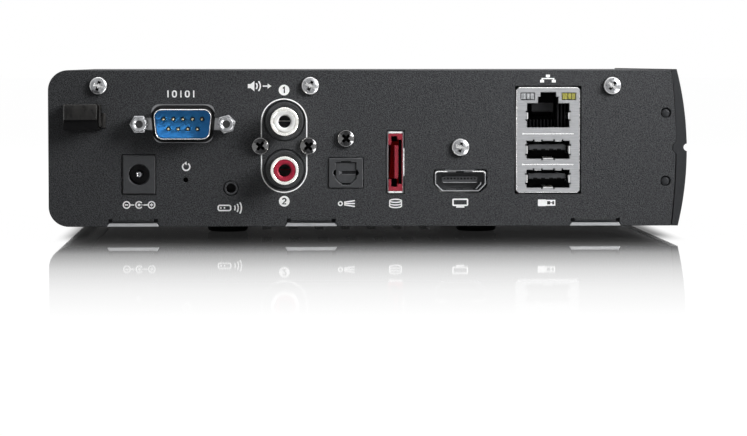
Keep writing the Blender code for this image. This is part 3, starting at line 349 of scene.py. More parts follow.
def paintedShadeAndHighlight(material, dark, bright):
    # the "tone" kept on a screw's faces: 0 painted shade, 0.5 as plated, 1 painted highlight
    tree = material.node_tree
    shader = tree.nodes["Principled BSDF"]
    plain = shader.inputs["Base Color"].links[0].from_socket
    tone = addNode(tree, "ShaderNodeAttribute", attribute_name="tone").outputs["Fac"]
    for end, shade in ((0.0, dark), (1.0, bright)):
        amount = ranged(tree, tone, (0.5, end))
        plain = addNode(tree, "ShaderNodeMix", {0: amount, 6: plain, 7: toLinear(shade)}, data_type="RGBA").outputs[2]
    tree.links.new(plain, shader.inputs["Base Color"])
    return material


# Powder coat: baked resin over sheet steel, a fine matt orange peel with a slight speckle.
# The real grit is about 0.1 mm, drawn at 0.3 mm so that it shows.
powderCoat = grained("powderCoatBlack", "#1a1b1d", "#4a4b4d", 0.3, (0.55, 0.7), 0.7, 0.05, specular=0.15, detail=1.0)
# Moulded ABS: smooth satin skin with a faint spark texture.
satinAbs = grained("mouldedAbsSatin", "#2a2b2d", "#303133", 0.4, (0.45, 0.55), 0.15, ior=1.52, specular=0.12)


def nylon(label, dark, light, size, rough, bump=0.1, depth=0.01, specular=0.25, stretch=None):
    # moulded nylon: flow marks about a millimetre wide, slightly shiny where it is thick
    return grained(label, dark, light, size, rough, bump, depth, ior=1.53, specular=specular, stretch=stretch)


blackNylon = nylon("mouldedNylonBlack", "#343537", "#3d3e40", 1.2, (0.38, 0.5), 0.12)
# painted highlight: a pale copy of the black nylon, for edges and marks that catch the light
paleNylon = nylon("mouldedNylonPaintedHighlight", "#565759", "#636466", 1.0, (0.4, 0.52))
deepNylon = nylon("mouldedNylonShaded", "#19191b", "#222224", 1.0, (0.45, 0.6), specular=0.12)
# dark nylon, also used as painted shade: the lead clip's underside, the storage socket's pockets, the slot ends and the
# network comb
darkNylon = nylon("mouldedNylonDeep", "#0a0a0b", "#0f0f10", 1.0, (0.55, 0.7), specular=0.06)
glossNylon = nylon("mouldedNylonGloss", "#040404", "#302f2e", 2.0, (0.14, 0.5), 0.5, 0.1, 0.16, (1, 1, 0.4))
blueNylon = nylon("mouldedNylonBlue", "#389af4", "#48a8ff", 1.5, (0.38, 0.5), specular=0.2)
redNylon = nylon("mouldedNylonRed", "#991a33", "#a91f3a", 1.2, (0.38, 0.5), specular=0.3)
deepRedNylon = nylon("mouldedNylonDeepRed", "#872230", "#962838", 1.2, (0.4, 0.5), specular=0.3)
darkRedNylon = nylon("mouldedNylonRedInside", "#920808", "#a40d0d", 1.2, (0.55, 0.65), specular=0.08)
whiteNylon = nylon("mouldedNylonWhite", "#ebebe9", "#f5f5f3", 1.5, (0.35, 0.45), 0.08, specular=0.5)
# Rubber feet: matt, slightly dusty.
footRubber = grained("mouldedRubberFoot", "#1d1e20", "#292a2c", 0.6, (0.8, 0.92), 0.4, 0.03, specular=0.2)


def metal(label, dark, light, size, rough, bump=0.1, depth=0.004, stretch=None):
    return grained(label, dark, light, size, rough, bump, depth, 1.0, stretch=stretch)


# Zinc-plated steel: bright with a soft cloudy grey from the bath.
zincPlate = metal("zincPlatedSteel", "#77787a", "#a8a9ab", 0.7, (0.24, 0.42), 0.35, 0.012)
screwZinc = paintedShadeAndHighlight(metal("zincPlatedScrew", "#6e6f71", "#9b9c9e", 0.6, (0.24, 0.42), 0.35, 0.012), "#1c1c1c", "#e6e6e6")
# Black nickel on steel screws: dark with a clear shine.
screwNickel = paintedShadeAndHighlight(metal("blackNickelScrew", "#232324", "#3c3c3d", 0.8, (0.14, 0.28), 0.2, 0.01), "#080808", "#8a8a8a")
# Tin-plated stamped steel: pale, very fine rolling lines, a soft shine.
tinPlate = metal("tinPlatedSteel", "#8e8f91", "#9fa0a2", 0.8, (0.36, 0.5), 0.15, 0.005, (0.2, 1, 3))
# painted highlight: a bright copy of the tin plate, for edges, folds, beads and fingers that catch the light
highlightTin = metal("tinPlatedPaintedHighlight", "#e0e1e1", "#f0f0f0", 0.8, (0.22, 0.32), 0.1, 0.005)
# Tin darkened and dulled: painted shade for fillets and bores.
shadedTin = metal("tinPlatedPaintedShade", "#434344", "#555556", 0.8, (0.5, 0.62), 0.15, 0.005)
# Nickel-plated brass of the sound rings: polished, faint turning marks.
nickelPlate = metal("nickelPlatedBrass", "#dcdbd7", "#ecebe7", 0.5, (0.15, 0.28))
# Gold flash over nickel on the pins: warm and slightly dull.
goldFlash = metal("goldFlashedPins", "#94896e", "#aea38a", 0.3, (0.35, 0.48))
# Extruded aluminium of the heat sink, with its die lines.
sinkAluminium = metal("extrudedAluminium", "#a8aaac", "#bfc1c3", 0.6, (0.34, 0.48), 0.2, 0.01, (4, 0.2, 1))
# Screen ink: opaque white or black, dead flat.
whiteInk = grained("screenInkWhite", "#f1f1f1", "#fbfbfb", 0.3, (0.55, 0.65), depth=0.004)
blackInk = grained("screenInkBlack", "#262627", "#303031", 0.3, (0.55, 0.65), depth=0.004, specular=0.2)
# Clear and amber light pipes: moulded polycarbonate, frosted inside; and the smoked acrylic window.
clearLens = grained("clearPolycarbonate", "#8b8d8f", "#a6a8aa", 0.8, (0.1, 0.2), ior=1.58)
amberLens = grained("amberPolycarbonate", "#85812f", "#9b9748", 0.8, (0.1, 0.2), ior=1.58)
smokedAcrylic = grained("smokedAcrylicWindow", "#180f10", "#1e1415", 2.0, (0.06, 0.12), 0.05, ior=1.49)
# Circuit board: green solder mask over copper, glassy; a chip's moulded epoxy; and a vinyl ribbon.
solderMask = grained("greenSolderMask", "#1b432e", "#275a3f", 3.0, (0.28, 0.42), 0.2, 0.03, ior=1.5, detail=1.0)
chipEpoxy = grained("mouldedChipEpoxy", "#1f1f21", "#27272a", 0.4, (0.5, 0.62), 0.2, specular=0.3)
ribbonVinyl = grained("extrudedVinylRibbon", "#84878a", "#979a9c", 0.9, (0.45, 0.58), 0.2, 0.02,
                      stretch=(1, 0.05, 0.05))
print("materials made:", len(bpy.data.materials))


# Geometry Nodes trees

def newTree(name, sockets):
    tree = bpy.data.node_groups.new(name, "GeometryNodeTree")
    tree.interface.new_socket("Geometry", in_out="OUTPUT", socket_type="NodeSocketGeometry")
    for label, kind in sockets.items():
        tree.interface.new_socket(label, in_out="INPUT", socket_type="NodeSocket" + kind)
    return tree, tree.nodes.new("NodeGroupInput").outputs, tree.nodes.new("NodeGroupOutput")


def finishTree(tree, end, geometry, material):
    solid = addNode(tree, "GeometryNodeRealizeInstances", {"Geometry": geometry})
    done = addNode(tree, "GeometryNodeSetMaterial", {"Geometry": solid.outputs[0], "Material": material})
    tree.links.new(done.outputs[0], end.inputs[0])
    return tree


def barRowsTree():
    # bars in rows across the panel: contacts and comb teeth
    tree, get, end = newTree("barRows", {
        "Geometry": "Geometry", "Count": "Int", "Rows": "Int", "Pitch": "Float", "Row pitch": "Float",
        "Bar size": "Vector", "Centre": "Vector", "Finish": "Material"})
    line, rows = (addNode(tree, "GeometryNodeMeshLine", {"Count": get[count], "Offset": addNode(
        tree, "ShaderNodeCombineXYZ", {axis: get[pitch]}).outputs[0]}).outputs[0]
        for count, axis, pitch in (("Count", "X", "Pitch"), ("Rows", "Z", "Row pitch")))
    grid = addNode(tree, "GeometryNodeInstanceOnPoints", {"Points": rows, "Instance": line})
    points = addNode(tree, "GeometryNodeRealizeInstances", {"Geometry": grid.outputs[0]})
    bar = addNode(tree, "GeometryNodeMeshCube", {"Size": get["Bar size"]})
    bars = addNode(tree, "GeometryNodeInstanceOnPoints", {"Points": points.outputs[0], "Instance": bar.outputs[0]})
    half = [reckon(tree, "MULTIPLY", reckon(tree, "SUBTRACT", get[count], 1.0), get[pitch])
            for count, pitch in (("Count", "Pitch"), ("Rows", "Row pitch"))]
    middle = addNode(tree, "ShaderNodeVectorMath", {0: addNode(
        tree, "ShaderNodeCombineXYZ", {"X": half[0], "Z": half[1]}).outputs[0], "Scale": -0.5}, operation="SCALE")
    shift = addNode(tree, "ShaderNodeVectorMath", {0: middle.outputs[0], 1: get["Centre"]}, operation="ADD")
    moved = addNode(tree, "GeometryNodeTransform", {"Geometry": bars.outputs[0], "Translation": shift.outputs[0]})
    return finishTree(tree, end, moved.outputs[0], get["Finish"])


def copiesTree():
    # one shape at each point, turned as the point's own "turn" says: screws, pins, feet
    tree, get, end = newTree("shapeAtPoints", {"Geometry": "Geometry", "Shape": "Object", "Finish": "Material"})
    turn = addNode(tree, "GeometryNodeInputNamedAttribute", {"Name": "turn"}, data_type="FLOAT_VECTOR")
    rotation = addNode(tree, "FunctionNodeEulerToRotation", {0: turn.outputs["Attribute"]})
    shape = addNode(tree, "GeometryNodeObjectInfo", {"Object": get["Shape"]})
    copies = addNode(tree, "GeometryNodeInstanceOnPoints", {
        "Points": get["Geometry"], "Instance": shape.outputs["Geometry"], "Rotation": rotation.outputs[0]})
    return finishTree(tree, end, copies.outputs[0], get["Finish"])


barRows, shapeAtPoints = barRowsTree(), copiesTree()


def grow(name, tree, values, material, slot, points=(((0, 0, 0), (0, 0, 0)),), stands=(), smooth=30):
    # runs a tree and keeps its result as a plain mesh
    seed = bpy.data.meshes.new(name + "Points")
    seed.from_pydata([place for place, _ in points], [], [])
    turns = seed.attributes.new("turn", "FLOAT_VECTOR", "POINT")
    for k, (_, turn) in enumerate(points):
        turns.data[k].vector = turn
    carrier = bpy.data.objects.new(name + "Carrier", seed)
    bpy.context.scene.collection.objects.link(carrier)
    step = carrier.modifiers.new("grow", "NODES")
    step.node_group = tree
    sockets = {s.name: s.identifier for s in tree.interface.items_tree if s.in_out == "INPUT"}
    for key, value in {**values, "Finish": material}.items():
        step[sockets[key]] = value
    mesh = evaluated(carrier)
    bpy.data.objects.remove(carrier)
    mesh.name = name
    mesh.materials.clear()
    for attribute in [a for a in mesh.attributes if a.name == "turn"]:
        mesh.attributes.remove(attribute)
    return asPiece(name, mesh, material, slot, stands, smooth=smooth)


def bars(name, count, pitch, size, centre, material, slot, rows=1, rowPitch=1.0):
    # sizes in millimetres: across, deep, high
    return grow(name, barRows, {
        "Count": count, "Rows": rows, "Pitch": pitch / 1000, "Row pitch": rowPitch / 1000,
        "Bar size": [s / 1000 for s in size], "Centre": list(at(*centre))}, material, slot)


def copies(name, shape, points, material, slot, stands, smooth=40):
    grow(name, shapeAtPoints, {"Shape": shape}, material, slot, points, stands, smooth)
    bpy.data.objects.remove(shape)


def shapeFor(name, parts, smooth=40):
    return toObject(name, meshOf(name, parts), smooth)


# Casing

edge = {"bottom": 4.3, "middle": 3.0, "top": 4.6, "waist": 22.8, "bump": 3.8, "step": 1.0}
ports = {
    "power": (26.02, 15.05), "serial": (38.8, 29.7), "reset": (39.5, 13.5), "remote": (52.55, 11.1),
    "soundLow": (68.0, 16.5), "soundHigh": (68.0, 30.5), "optical": (85.8, 15.5), "storage": (100.15, 18.55),
    "picture": (119.0, 13.05), "stack": (144.48, 24.93),
}
screws = {
    "cover": [(14.5, 40.7), (75.5, 40.7), (163.1, 40.7)], "picture": (119.0, 22.9), "optical": (85.8, 25.5),
    "sound": [(61.05, 23.3), (74.95, 23.3)], "hole": 3.0,
}
jackscrews = {"apart": 24.99, "across": 4.75, "proud": 5.0}
tabs = {"places": (24.25, 75.7, 158.3), "width": 13.8, "foot": 15.1, "height": 2.15, "relief": 1.15, "bend": 1.66}
pegs = {"u": 178.8, "heights": (13.0, 32.8), "hole": 3.0, "dome": 2.3}
clipPeg = {"place": (9.5, 31.7), "hole": 3.6}


def seamLine(shift, steps=28):
    low, middle, high = ((casing["width"] - edge[name] - shift, height) for name, height in (
        ("bottom", 0.0), ("middle", edge["waist"]), ("top", casing["height"])))
    smooth = arcBetween(low, middle, high, steps)
    waist, half, inner = edge["waist"], edge["bump"] / 2, middle[0] - edge["step"]
    flat = half - edge["step"]
    step = shifted((0.0, waist), [(middle[0], -half), (inner, -flat), (inner, flat), (middle[0], half)])
    return [p for p in smooth if p[1] < waist - half] + step + [p for p in smooth if p[1] > waist + half]


def panelOutline(upperShift=casing["seam"]):
    wide, steps = casing["corner"] * 2, 14
    corners = [(0.0, casing["height"]), (0.0, 0.0), (wide, 0.0), (wide, casing["height"])]
    left = rounded(corners, [casing["corner"]] * 2 + [0.0, 0.0], steps)[:2 * steps + 2]
    lower, upper = ([p for p in seamLine(shift) if (p[1] > edge["waist"]) == above]
                    for shift, above in ((casing["seam"], False), (upperShift, True)))
    return left + lower + upper


def notchedOutline():
    # the panel's outline with a notch for each tab of the base plate
    outline, spare = panelOutline(0.1), 0.2
    start = outline.index(max(p for p in outline if abs(p[1]) < 1e-6 and p[0] < 20))
    half, foot = tabs["width"] / 2 + spare, tabs["foot"] / 2 + spare
    inner = half - tabs["relief"]
    side = [(-foot, 0.0), (-half, 1.0), (-half, tabs["height"]), (-inner, tabs["height"]), (-inner, tabs["bend"])]
    notches = [p for place in tabs["places"] for p in bothSides(place, side)]
    return outline[:start + 1] + notches + outline[start + 1:]


def fixingHoles(places):
    return [circle(p, screws["hole"]) for p in places] + [circle((pegs["u"], w), pegs["hole"]) for w in pegs["heights"]]


def serialHole():
    # the serial port's hole joins a slot for its two jackscrews
    hole = {"size": (18.6, 11.2), "lift": 0.12, "slant": 0.9, "corner": 2.2, "slot": 1.8, "blend": 2.0}
    u, w = ports["serial"]
    slot, blend, end = hole["slot"], hole["blend"], jackscrews["apart"] / 2 + hole["blend"] - hole["slot"]
    right = [(a - u, b) for a, b in dee((u, w + hole["lift"]), hole["size"], hole["slant"], hole["corner"]) if a > u]
    top = w + hole["lift"] + hole["size"][1] / 2
    reach = lambda z: max(right)[0] - hole["slant"] * (top - z) / hole["size"][1]
    return bothSides(u, sorted(p for p in right if p[1] < w - blend) + [(reach(w - slot), w - slot)]
                     + shifted((0.0, w), arc((end, 0.0), slot, -90, 90, 12)) + [(reach(w + slot), w + slot)]
                     + sorted((p for p in right if p[1] > w + blend), reverse=True))


def makePortPanel():
    holes = [
        rectangle(ports["power"], (9.8, 11.6), 0.2, 2), circle(ports["reset"], 1.45, 24), circle(ports["remote"], 4.35),
        circle(ports["soundLow"], 11.9, 64), circle(ports["soundHigh"], 11.9, 64),
        rectangle(ports["optical"], (10.15, 8.95), 0.2, 2),
        rectangle((100.17, ports["storage"][1]), (5.2, 18.3), 0.1, 2),
        lowCut(ports["picture"], (15.5, 6.75), 2.0, 0.0, 0.7), rectangle(ports["stack"], (19.3, 31.3), 0.1, 2),
        circle(clipPeg["place"], clipPeg["hole"]), serialHole(),
    ]
    holes += fixingHoles([*screws["cover"], screws["picture"], screws["optical"], *screws["sound"]])
    panel = slab(notchedOutline(), 0.0, casing["sheet"], holes, rim=0.12, backRim=0.1)
    toPiece("portPanel", powderCoat, [panel], "coated_steel", ["port_panel"])


def makeWrapCover():
    sheet, corner, gap = casing["sheet"], casing["corner"], 0.3
    topEnd, lipEnd, under = seamLine(casing["seam"])[-1][0], corner + 6.2, casing["height"] - sheet
    corners = [(topEnd, casing["height"]), (0.0, casing["height"]), (0.0, 0.0), (lipEnd, 0.0),
               (lipEnd, sheet), (sheet, sheet), (sheet, under), (topEnd, under)]
    radii = [0.0, corner, corner, 0.0, 0.0, corner - sheet, corner - sheet, 0.0]
    near, far = sheet + gap, casing["depth"] - sheet - gap
    ear = {"size": (10.0, 7.0), "height": 41.1, "corner": 1.2}
    parts = [slab(rounded(corners, radii, 14), near, far, rim=0.15, backRim=0.15)]
    for front, places in ((near, screws["cover"]), (far - sheet, screws["cover"][::2])):
        parts += [slab(rectangle((p[0], ear["height"]), ear["size"], ear["corner"], 4), front, front + sheet,
                       [circle(p, screws["hole"], 24)]) for p in places]
    toPiece("wrapCover", powderCoat, parts, "coated_steel", ["wrap_cover"])


def makeEndPanel():
    vents = {"count": 14, "pitch": 5.8, "size": (2.2, 18.0), "middle": (90.5, 24.0)}
    (u, w), count = vents["middle"], vents["count"]
    holes = [rectangle((u + vents["pitch"] * (k - (count - 1) / 2), w), vents["size"], 0.9, 4) for k in range(count)]
    holes += fixingHoles(screws["cover"][::2])
    panel = slab(panelOutline(), casing["depth"] - casing["sheet"], casing["depth"], holes, rim=0.1, backRim=0.12)
    toPiece("endPanel", powderCoat, [panel], "coated_steel", ["end_panel"])


def makeBasePlate():
    plate = refined("base_plate", [powderCoat, tinPlate], 0.12, 1, "coated_steel")
    setFinish(plate, lambda p, n: p.y < 1.2 and p.z < 1.05)  # the tabs' pressed faces are bare plated steel
    half, low, high = 5.9, tabs["bend"] - 0.3, tabs["bend"] - 0.06
    toPiece("tabBends", powderCoat, [  # the bend between the two relief cuts
        block((place - half, place + half), (0.05, 0.6), (low, high), 0.06) for place in tabs["places"]
    ], "coated_steel")


def makeBezel():
    radius = pegs["dome"] / 2 - 0.05
    dome = [(radius * share, d) for share, d in (
        (0.0, 0.02), (0.45, 0.04), (0.75, 0.11), (0.93, 0.22), (1.0, 0.4), (1.0, 0.6), (0.0, 0.6))]
    toPiece("bezelPegs", satinAbs, [lathe(dome, (pegs["u"], w), 32) for w in pegs["heights"]],
            "smooth_plastic", smooth=50)
    refined("bezel", satinAbs, 0.25, 2, "smooth_plastic", name="endBezel")


def makeFeet():
    foot = {"diameter": 12.0, "height": 3.0, "dome": 1.2, "dimple": 2.6, "pitch": (74.5, 75.0), "middle": (88.55, 66.5)}
    radius, low, dome, dimple = foot["diameter"] / 2, -foot["height"], foot["dome"], foot["dimple"]
    profile = [(0.0, low + 0.4), (dimple - 0.6, low + 0.4), (dimple, low)]
    profile += arc((radius - dome, low + dome), dome, -90, 0, 8)
    profile += [(radius, -0.5), (radius - 0.2, -0.3), (0.0, -0.3)]
    shape = shapeFor("footShape", [lathe(profile, (0.0, 0.0), 64, axis="w"), atOrigin])
    (u, d), (wide, deep) = foot["middle"], foot["pitch"]
    points = [(at(u + a * wide / 2, d + b * deep / 2, 0.0), (0, 0, 0)) for b in (-1, 1) for a in (-1, 1)]
    names = [f"foot_{row}_{side}" for row in ("near", "far") for side in ("left", "right")]
    copies("rubberFeet", shape, points, footRubber, "rubber", names)


def makeClip():
    # a strap bent round the lead, a locking tongue, and a foot on its peg
    strap = {"left": 4.72, "right": 14.5, "front": -7.2, "back": -0.35, "thick": 1.3, "low": 28.0, "high": 35.4,
             "slope": 2.8}
    left, right, front, back, low = (strap[key] for key in ("left", "right", "front", "back", "low"))
    wall, inner, deep = left + 1.4, front + strap["thick"], -1.6
    corners = [(left, back), (left, front), (right, front), (right, inner), (wall, inner), (wall, deep),
               (right + 0.2, deep), (right + 0.2, back)]

    def slopeFront(bm):  # the strap's lower front edge slopes back
        for vert in bm.verts:
            _, d, w = (vert.co - at(0, 0, 0)) * 1000
            if w < low + 0.3 and d < inner - 0.4:
                vert.co.z += strap["slope"] / 1000

    clip = toPiece("leadClip", [glossNylon, darkNylon], [
        slab(rounded(corners, [0.2, 1.5, 0.4, 0.3, 0.8, 0.8, 0.0, 0.0], 6), low, strap["high"], (), 0.25, 0.25, "w"),
        slopeFront,
        slab(rectangle((15.05, 32.1), (0.7, 6.2), 0.2, 3), -6.2, back, rim=0.15),
        slab(rectangle((15.8, 30.6), (1.6, 4.4), 0.3, 3), deep, back, rim=0.25),
        lathe([(0.0, -1.0), (1.5, -1.0), (1.5, 3.7), (1.2, 4.0), (0.0, 4.0)], clipPeg["place"], 32),
    ], "moulded_plastic", ["cable_clip"], smooth=45)
    matt = low + strap["slope"] + 0.1  # its downward faces, and low faces below this height, get the dark matt nylon: painted shade
    setFinish(clip, lambda p, n: n.z < -0.12 or p.z < matt and p.x < right + 0.1 and n.z < 0.3)


for make in (makePortPanel, makeWrapCover, makeEndPanel, makeBasePlate, makeBezel, makeFeet, makeClip):
    make()
print("casing made")


# Screws

head = {"diameter": 5.1, "rise": 1.4, "seat": 0.3, "shank": 2.4, "length": 5.0, "recess": 2.9, "arm": 0.85,
        "deep": 1.05}


def screwShape(grimy, recessHighlight, floor, rim, sheen):
    # a pan head with a cross recess, its axis along the world's Z and its seat at zero
    radius, rise, shank, length = head["diameter"] / 2, head["rise"], head["shank"] / 2, head["length"]
    profile = [(0.0, -length), (shank - 0.3, -length), (shank, 0.4 - length), (shank, 0.0), (radius - 0.1, 0.0),
               (radius, 0.12)]
    profile += arc((radius - 0.62, 0.42), 0.62, 0, 62, 5)
    profile += [(radius * 0.5, rise - 0.08), (radius * 0.25, rise - 0.02), (0.0, rise)]
    screw = shapeFor("screwShape", [lathe(profile, (0.0, 0.0), 48, axis="w"), atOrigin])
    reach, arm = head["recess"] / 2, head["arm"] / 2
    cross = [(s * x - t * y, t * x + s * y) for s, t in ((1, 0), (0, 1), (-1, 0), (0, -1))
             for x, y in ((arm, arm), (arm, reach), (-arm, reach))]

    def crossPit(bm):
        rings = [[bm.verts.new(Vector((x * share, y * share, z)) / 1000) for x, y in cross]
                 for share, z in ((1.15, rise + 0.3), (1.0, rise - 0.1), (0.45, rise - head["deep"]))]
        for one, two in zip(rings, rings[1:]):
            bridge(bm, one, two)
        bm.faces.new(rings[0])
        bm.faces.new(rings[-1])

    tool = shapeFor("crossShape", [crossPit], 10)
    step = screw.modifiers.new("recess", "BOOLEAN")
    step.operation, step.solver, step.object = "DIFFERENCE", "EXACT", tool
    mesh = evaluated(screw)
    screw.modifiers.clear()
    screw.data = mesh
    mesh.set_sharp_from_angle(angle=math.radians(35))
    bpy.data.objects.remove(tool)
    # painted shade in two arms of the recess (all of the recess on the dark screws), painted highlights on the other
    # arms, the recess floor and the rim, and a painted sheen on two opposite quadrants of the dark screws' heads
    tone = mesh.attributes.new("tone", "FLOAT", "FACE")
    for polygon in mesh.polygons:
        x, y, z = polygon.center * 1000
        away = math.hypot(x, y)
        value = rim if 0.45 < z < 0.95 and away > 2.2 else sheen if z > 0.95 and x * y > 0.25 else 0.5
        if 0.3 < z < rise - 0.12 and away < reach + 0.1:
            value = floor if abs(polygon.normal.z) > 0.97 else grimy if abs(y) > abs(x) else recessHighlight
        tone.data[polygon.index].value = value
    return screw


def makeScrews():
    towards = lambda side, degrees: (math.radians(90 * side), math.radians(degrees), 0.0)  # 1 out of the port panel
    cover, sound, seat = screws["cover"], screws["sound"], head["seat"]
    bright = [(at(u, -seat, w), towards(1, t)) for (u, w), t in zip([*cover, screws["picture"]], (18, 24, 40, 14))]
    bright += [(at(u, casing["depth"] + seat, w), towards(-1, t)) for (u, w), t in zip(cover[::2], (10, 35))]
    bright += [(at(u, 99.0, 9.3), (0.0, 0.0, math.radians(20))) for u in (17.0, 165.0)]
    dark = [(at(u, -seat, w), towards(1, t)) for (u, w), t in zip([*sound, screws["optical"]], (38, 50, 44))]
    brightNodes = ["cover_screw_left", "cover_screw_middle", "cover_screw_right", "hdmi_screw",
                   "end_screw_left", "end_screw_right", "board_screw_left", "board_screw_right"]
    darkNodes = ["sound_screw_left", "sound_screw_right", "optical_screw"]
    for name, points, material, nodes, slot, tones in (
            ("zincScrews", bright, screwZinc, brightNodes, "bright_screw", (0.0, 1.0, 0.9, 0.85, 0.5)),
            ("darkScrews", dark, screwNickel, darkNodes, "dark_screw", (0.0, 0.0, 0.0, 0.8, 0.74))):
        copies(name, screwShape(*tones), points, material, slot, nodes, 35)


makeScrews()
print("screws made")


# Serial port

def makeSerialPort():
    port = {"shell": (17.0, 8.7), "slant": 0.9, "corner": 2.2, "wall": 0.3, "flange": (30.8, 12.5), "pitch": 2.77,
            "row": 1.42, "pin": 0.9, "face": -1.7}
    u, w = ports["serial"]
    jacks = [(u + side * jackscrews["apart"] / 2, w) for side in (-1, 1)]
    (wide, tall), wall = port["shell"], port["wall"]
    shape = lambda by: dee((u, w), (wide + 2 * by, tall + 2 * by), port["slant"], port["corner"] + by)
    rolled = [(0.0, 1.3), (0.0, -5.75), (-0.08, -5.95), (-0.15, -6.0), (-0.22, -5.95), (-wall, -5.75), (-wall, 1.3)]
    flange = slab(rectangle((u, w), port["flange"], 1.0), 1.3, 1.8,
                  [shape(-wall), *(circle(p, 2.6, 24) for p in jacks)])
    shell = toPiece("serialShell", [tinPlate, highlightTin], [flange, walls(shape, rolled)],
                    "tinned_steel", ["serial_shell"], smooth=40)
    setFinish(shell, lambda p, n: p.y < -5.7)  # its rolled edge is painted bright: painted highlight
    # the fillet where the shell leaves its flange, darkened: painted shade
    fillet = walls(shape, [(1.0, 1.28), (0.55, 1.1), (0.2, 0.6), (0.03, -0.2)])
    toPiece("serialFillet", shadedTin, [fillet], "tinned_steel", smooth=60)

    pins = [(u + (k - (count - 1) / 2) * port["pitch"], w + lift)
            for count, lift in ((5, port["row"]), (4, -port["row"])) for k in range(count)]
    insulator = slab(shape(-wall - 0.02), port["face"], 8.0, [circle(p, 1.3, 24) for p in pins], 0.15)
    toPiece("serialInsulator", blueNylon, [insulator], "blue_plastic", ["serial_insulator"])
    ring = [(0.3, -1.65), (0.3, -1.83), (0.5, -1.83), (0.5, -1.65)]  # two small moulded rings under the pins
    toPiece("serialMoulding", blueNylon, [
        lathe(ring, (u + side * 4.45, w - 3.2), 20, True) for side in (-1, 1)], "blue_plastic")
    radius = port["pin"] / 2
    pin = [(0.0, -4.8), (radius * 0.5, -4.72), (radius * 0.85, -4.5), (radius, -4.15), (radius, 8.3), (0.0, 8.3)]
    copies("serialPins", shapeFor("pinShape", [lathe(pin, (0.0, 0.0), 20), atOrigin]),
           [(at(a, 0.0, b), (0, 0, 0)) for a, b in pins], goldFlash, "gold", ["serial_contacts"])

    lip = [(2.1, -4.6), (2.05, -4.9), (1.9, -5.0), (1.65, -5.0), (1.42, -4.85), (1.37, -4.6)]
    shank = [(0.0, -0.3), (1.2, -0.3), (1.2, 4.6), (0.9, 5.0), (0.0, 5.0)]
    parts = []
    for place, turn in zip(jacks, (0.0, 15.0)):
        hexagon = circle(place, jackscrews["across"] * 2 / math.sqrt(3), 6, math.radians(turn))
        parts += [slab(hexagon, 0.25 - jackscrews["proud"], -0.3, [circle(place, 2.74, 32)], 0.3, 0.1),
                  lathe(lip, place, 40, True), lathe(shank, place, 24)]
    toPiece("jackscrews", zincPlate, parts, "bright_screw", ["jackscrew_left", "jackscrew_right"], smooth=35)
    # the bores' insides and a groove round each are darkened tin: painted shade
    bore = [(1.36, -4.4), (1.1, -4.2), (1.1, -3.6), (0.55, -3.3), (0.0, -3.2), (0.0, -0.5), (1.36, -0.5)]
    groove = [(2.2, -4.7), (2.2, -4.77), (2.08, -4.77), (2.08, -4.7)]
    toPiece("jackscrewBores", shadedTin, [part for place in jacks for part in (
        lathe(bore, place, 32), lathe(groove, place, 40, True))], "bright_screw", smooth=20)
    thread = [(1.37, -4.75), (1.12, -4.6), (1.3, -4.45), (1.12, -4.3), (1.3, -4.15), (1.12, -4.0), (1.37, -3.9)]
    toPiece("jackscrewThreads", zincPlate, [lathe(thread, place, 32, True) for place in jacks],
            "bright_screw", smooth=20)
    refined("serial_ribbon", ribbonVinyl, 0.08, 1, "ribbon", 40)


# Power, reset and remote sockets

def makeSmallSockets():
    place = ports["power"]
    toPiece("powerSocket", blackNylon, [
        slab(rectangle(place, (9.45, 11.25), 0.15, 2), -0.4, 13.0, [circle(place, 5.9, 48)], 0.28, 0.1),
        lathe([(2.9, 9.5), (0.0, 9.5), (0.0, 10.0), (2.9, 10.0)], place)], "moulded_plastic", ["dc_jack"])
    pin = [(0.0, 1.7), (0.3, 1.3), (0.4, 0.95), (0.65, 0.8), (0.9, 1.0), (1.0, 1.4), (1.0, 12.9), (0.0, 12.9)]
    toPiece("powerPin", zincPlate, [lathe(pin, place, 32)], "nickel", ["dc_pin"], smooth=40)
    place = ports["remote"]
    barrel = [(1.975, -0.05), (1.85, -0.2), (1.45, -0.2), (1.34, -0.08), (1.34, 9.9), (0.0, 9.9), (0.0, 11.0),
              (1.975, 11.0)]
    toPiece("remoteSocket", blackNylon, [
        lathe(barrel, place, 40, True),
        slab(rectangle((place[0], 12.1), (7.0, 5.6), 0.2, 2), 1.3, 10.9, [circle(place, 3.9, 40)], 0.1),
    ], "moulded_plastic", ["remote_jack"])
    refined("reset_switch", blackNylon, 0.12, 1, "moulded_plastic")
    refined("reset_button", darkNylon, 0.1, 2, "clear_plastic", 40)


# Sound sockets

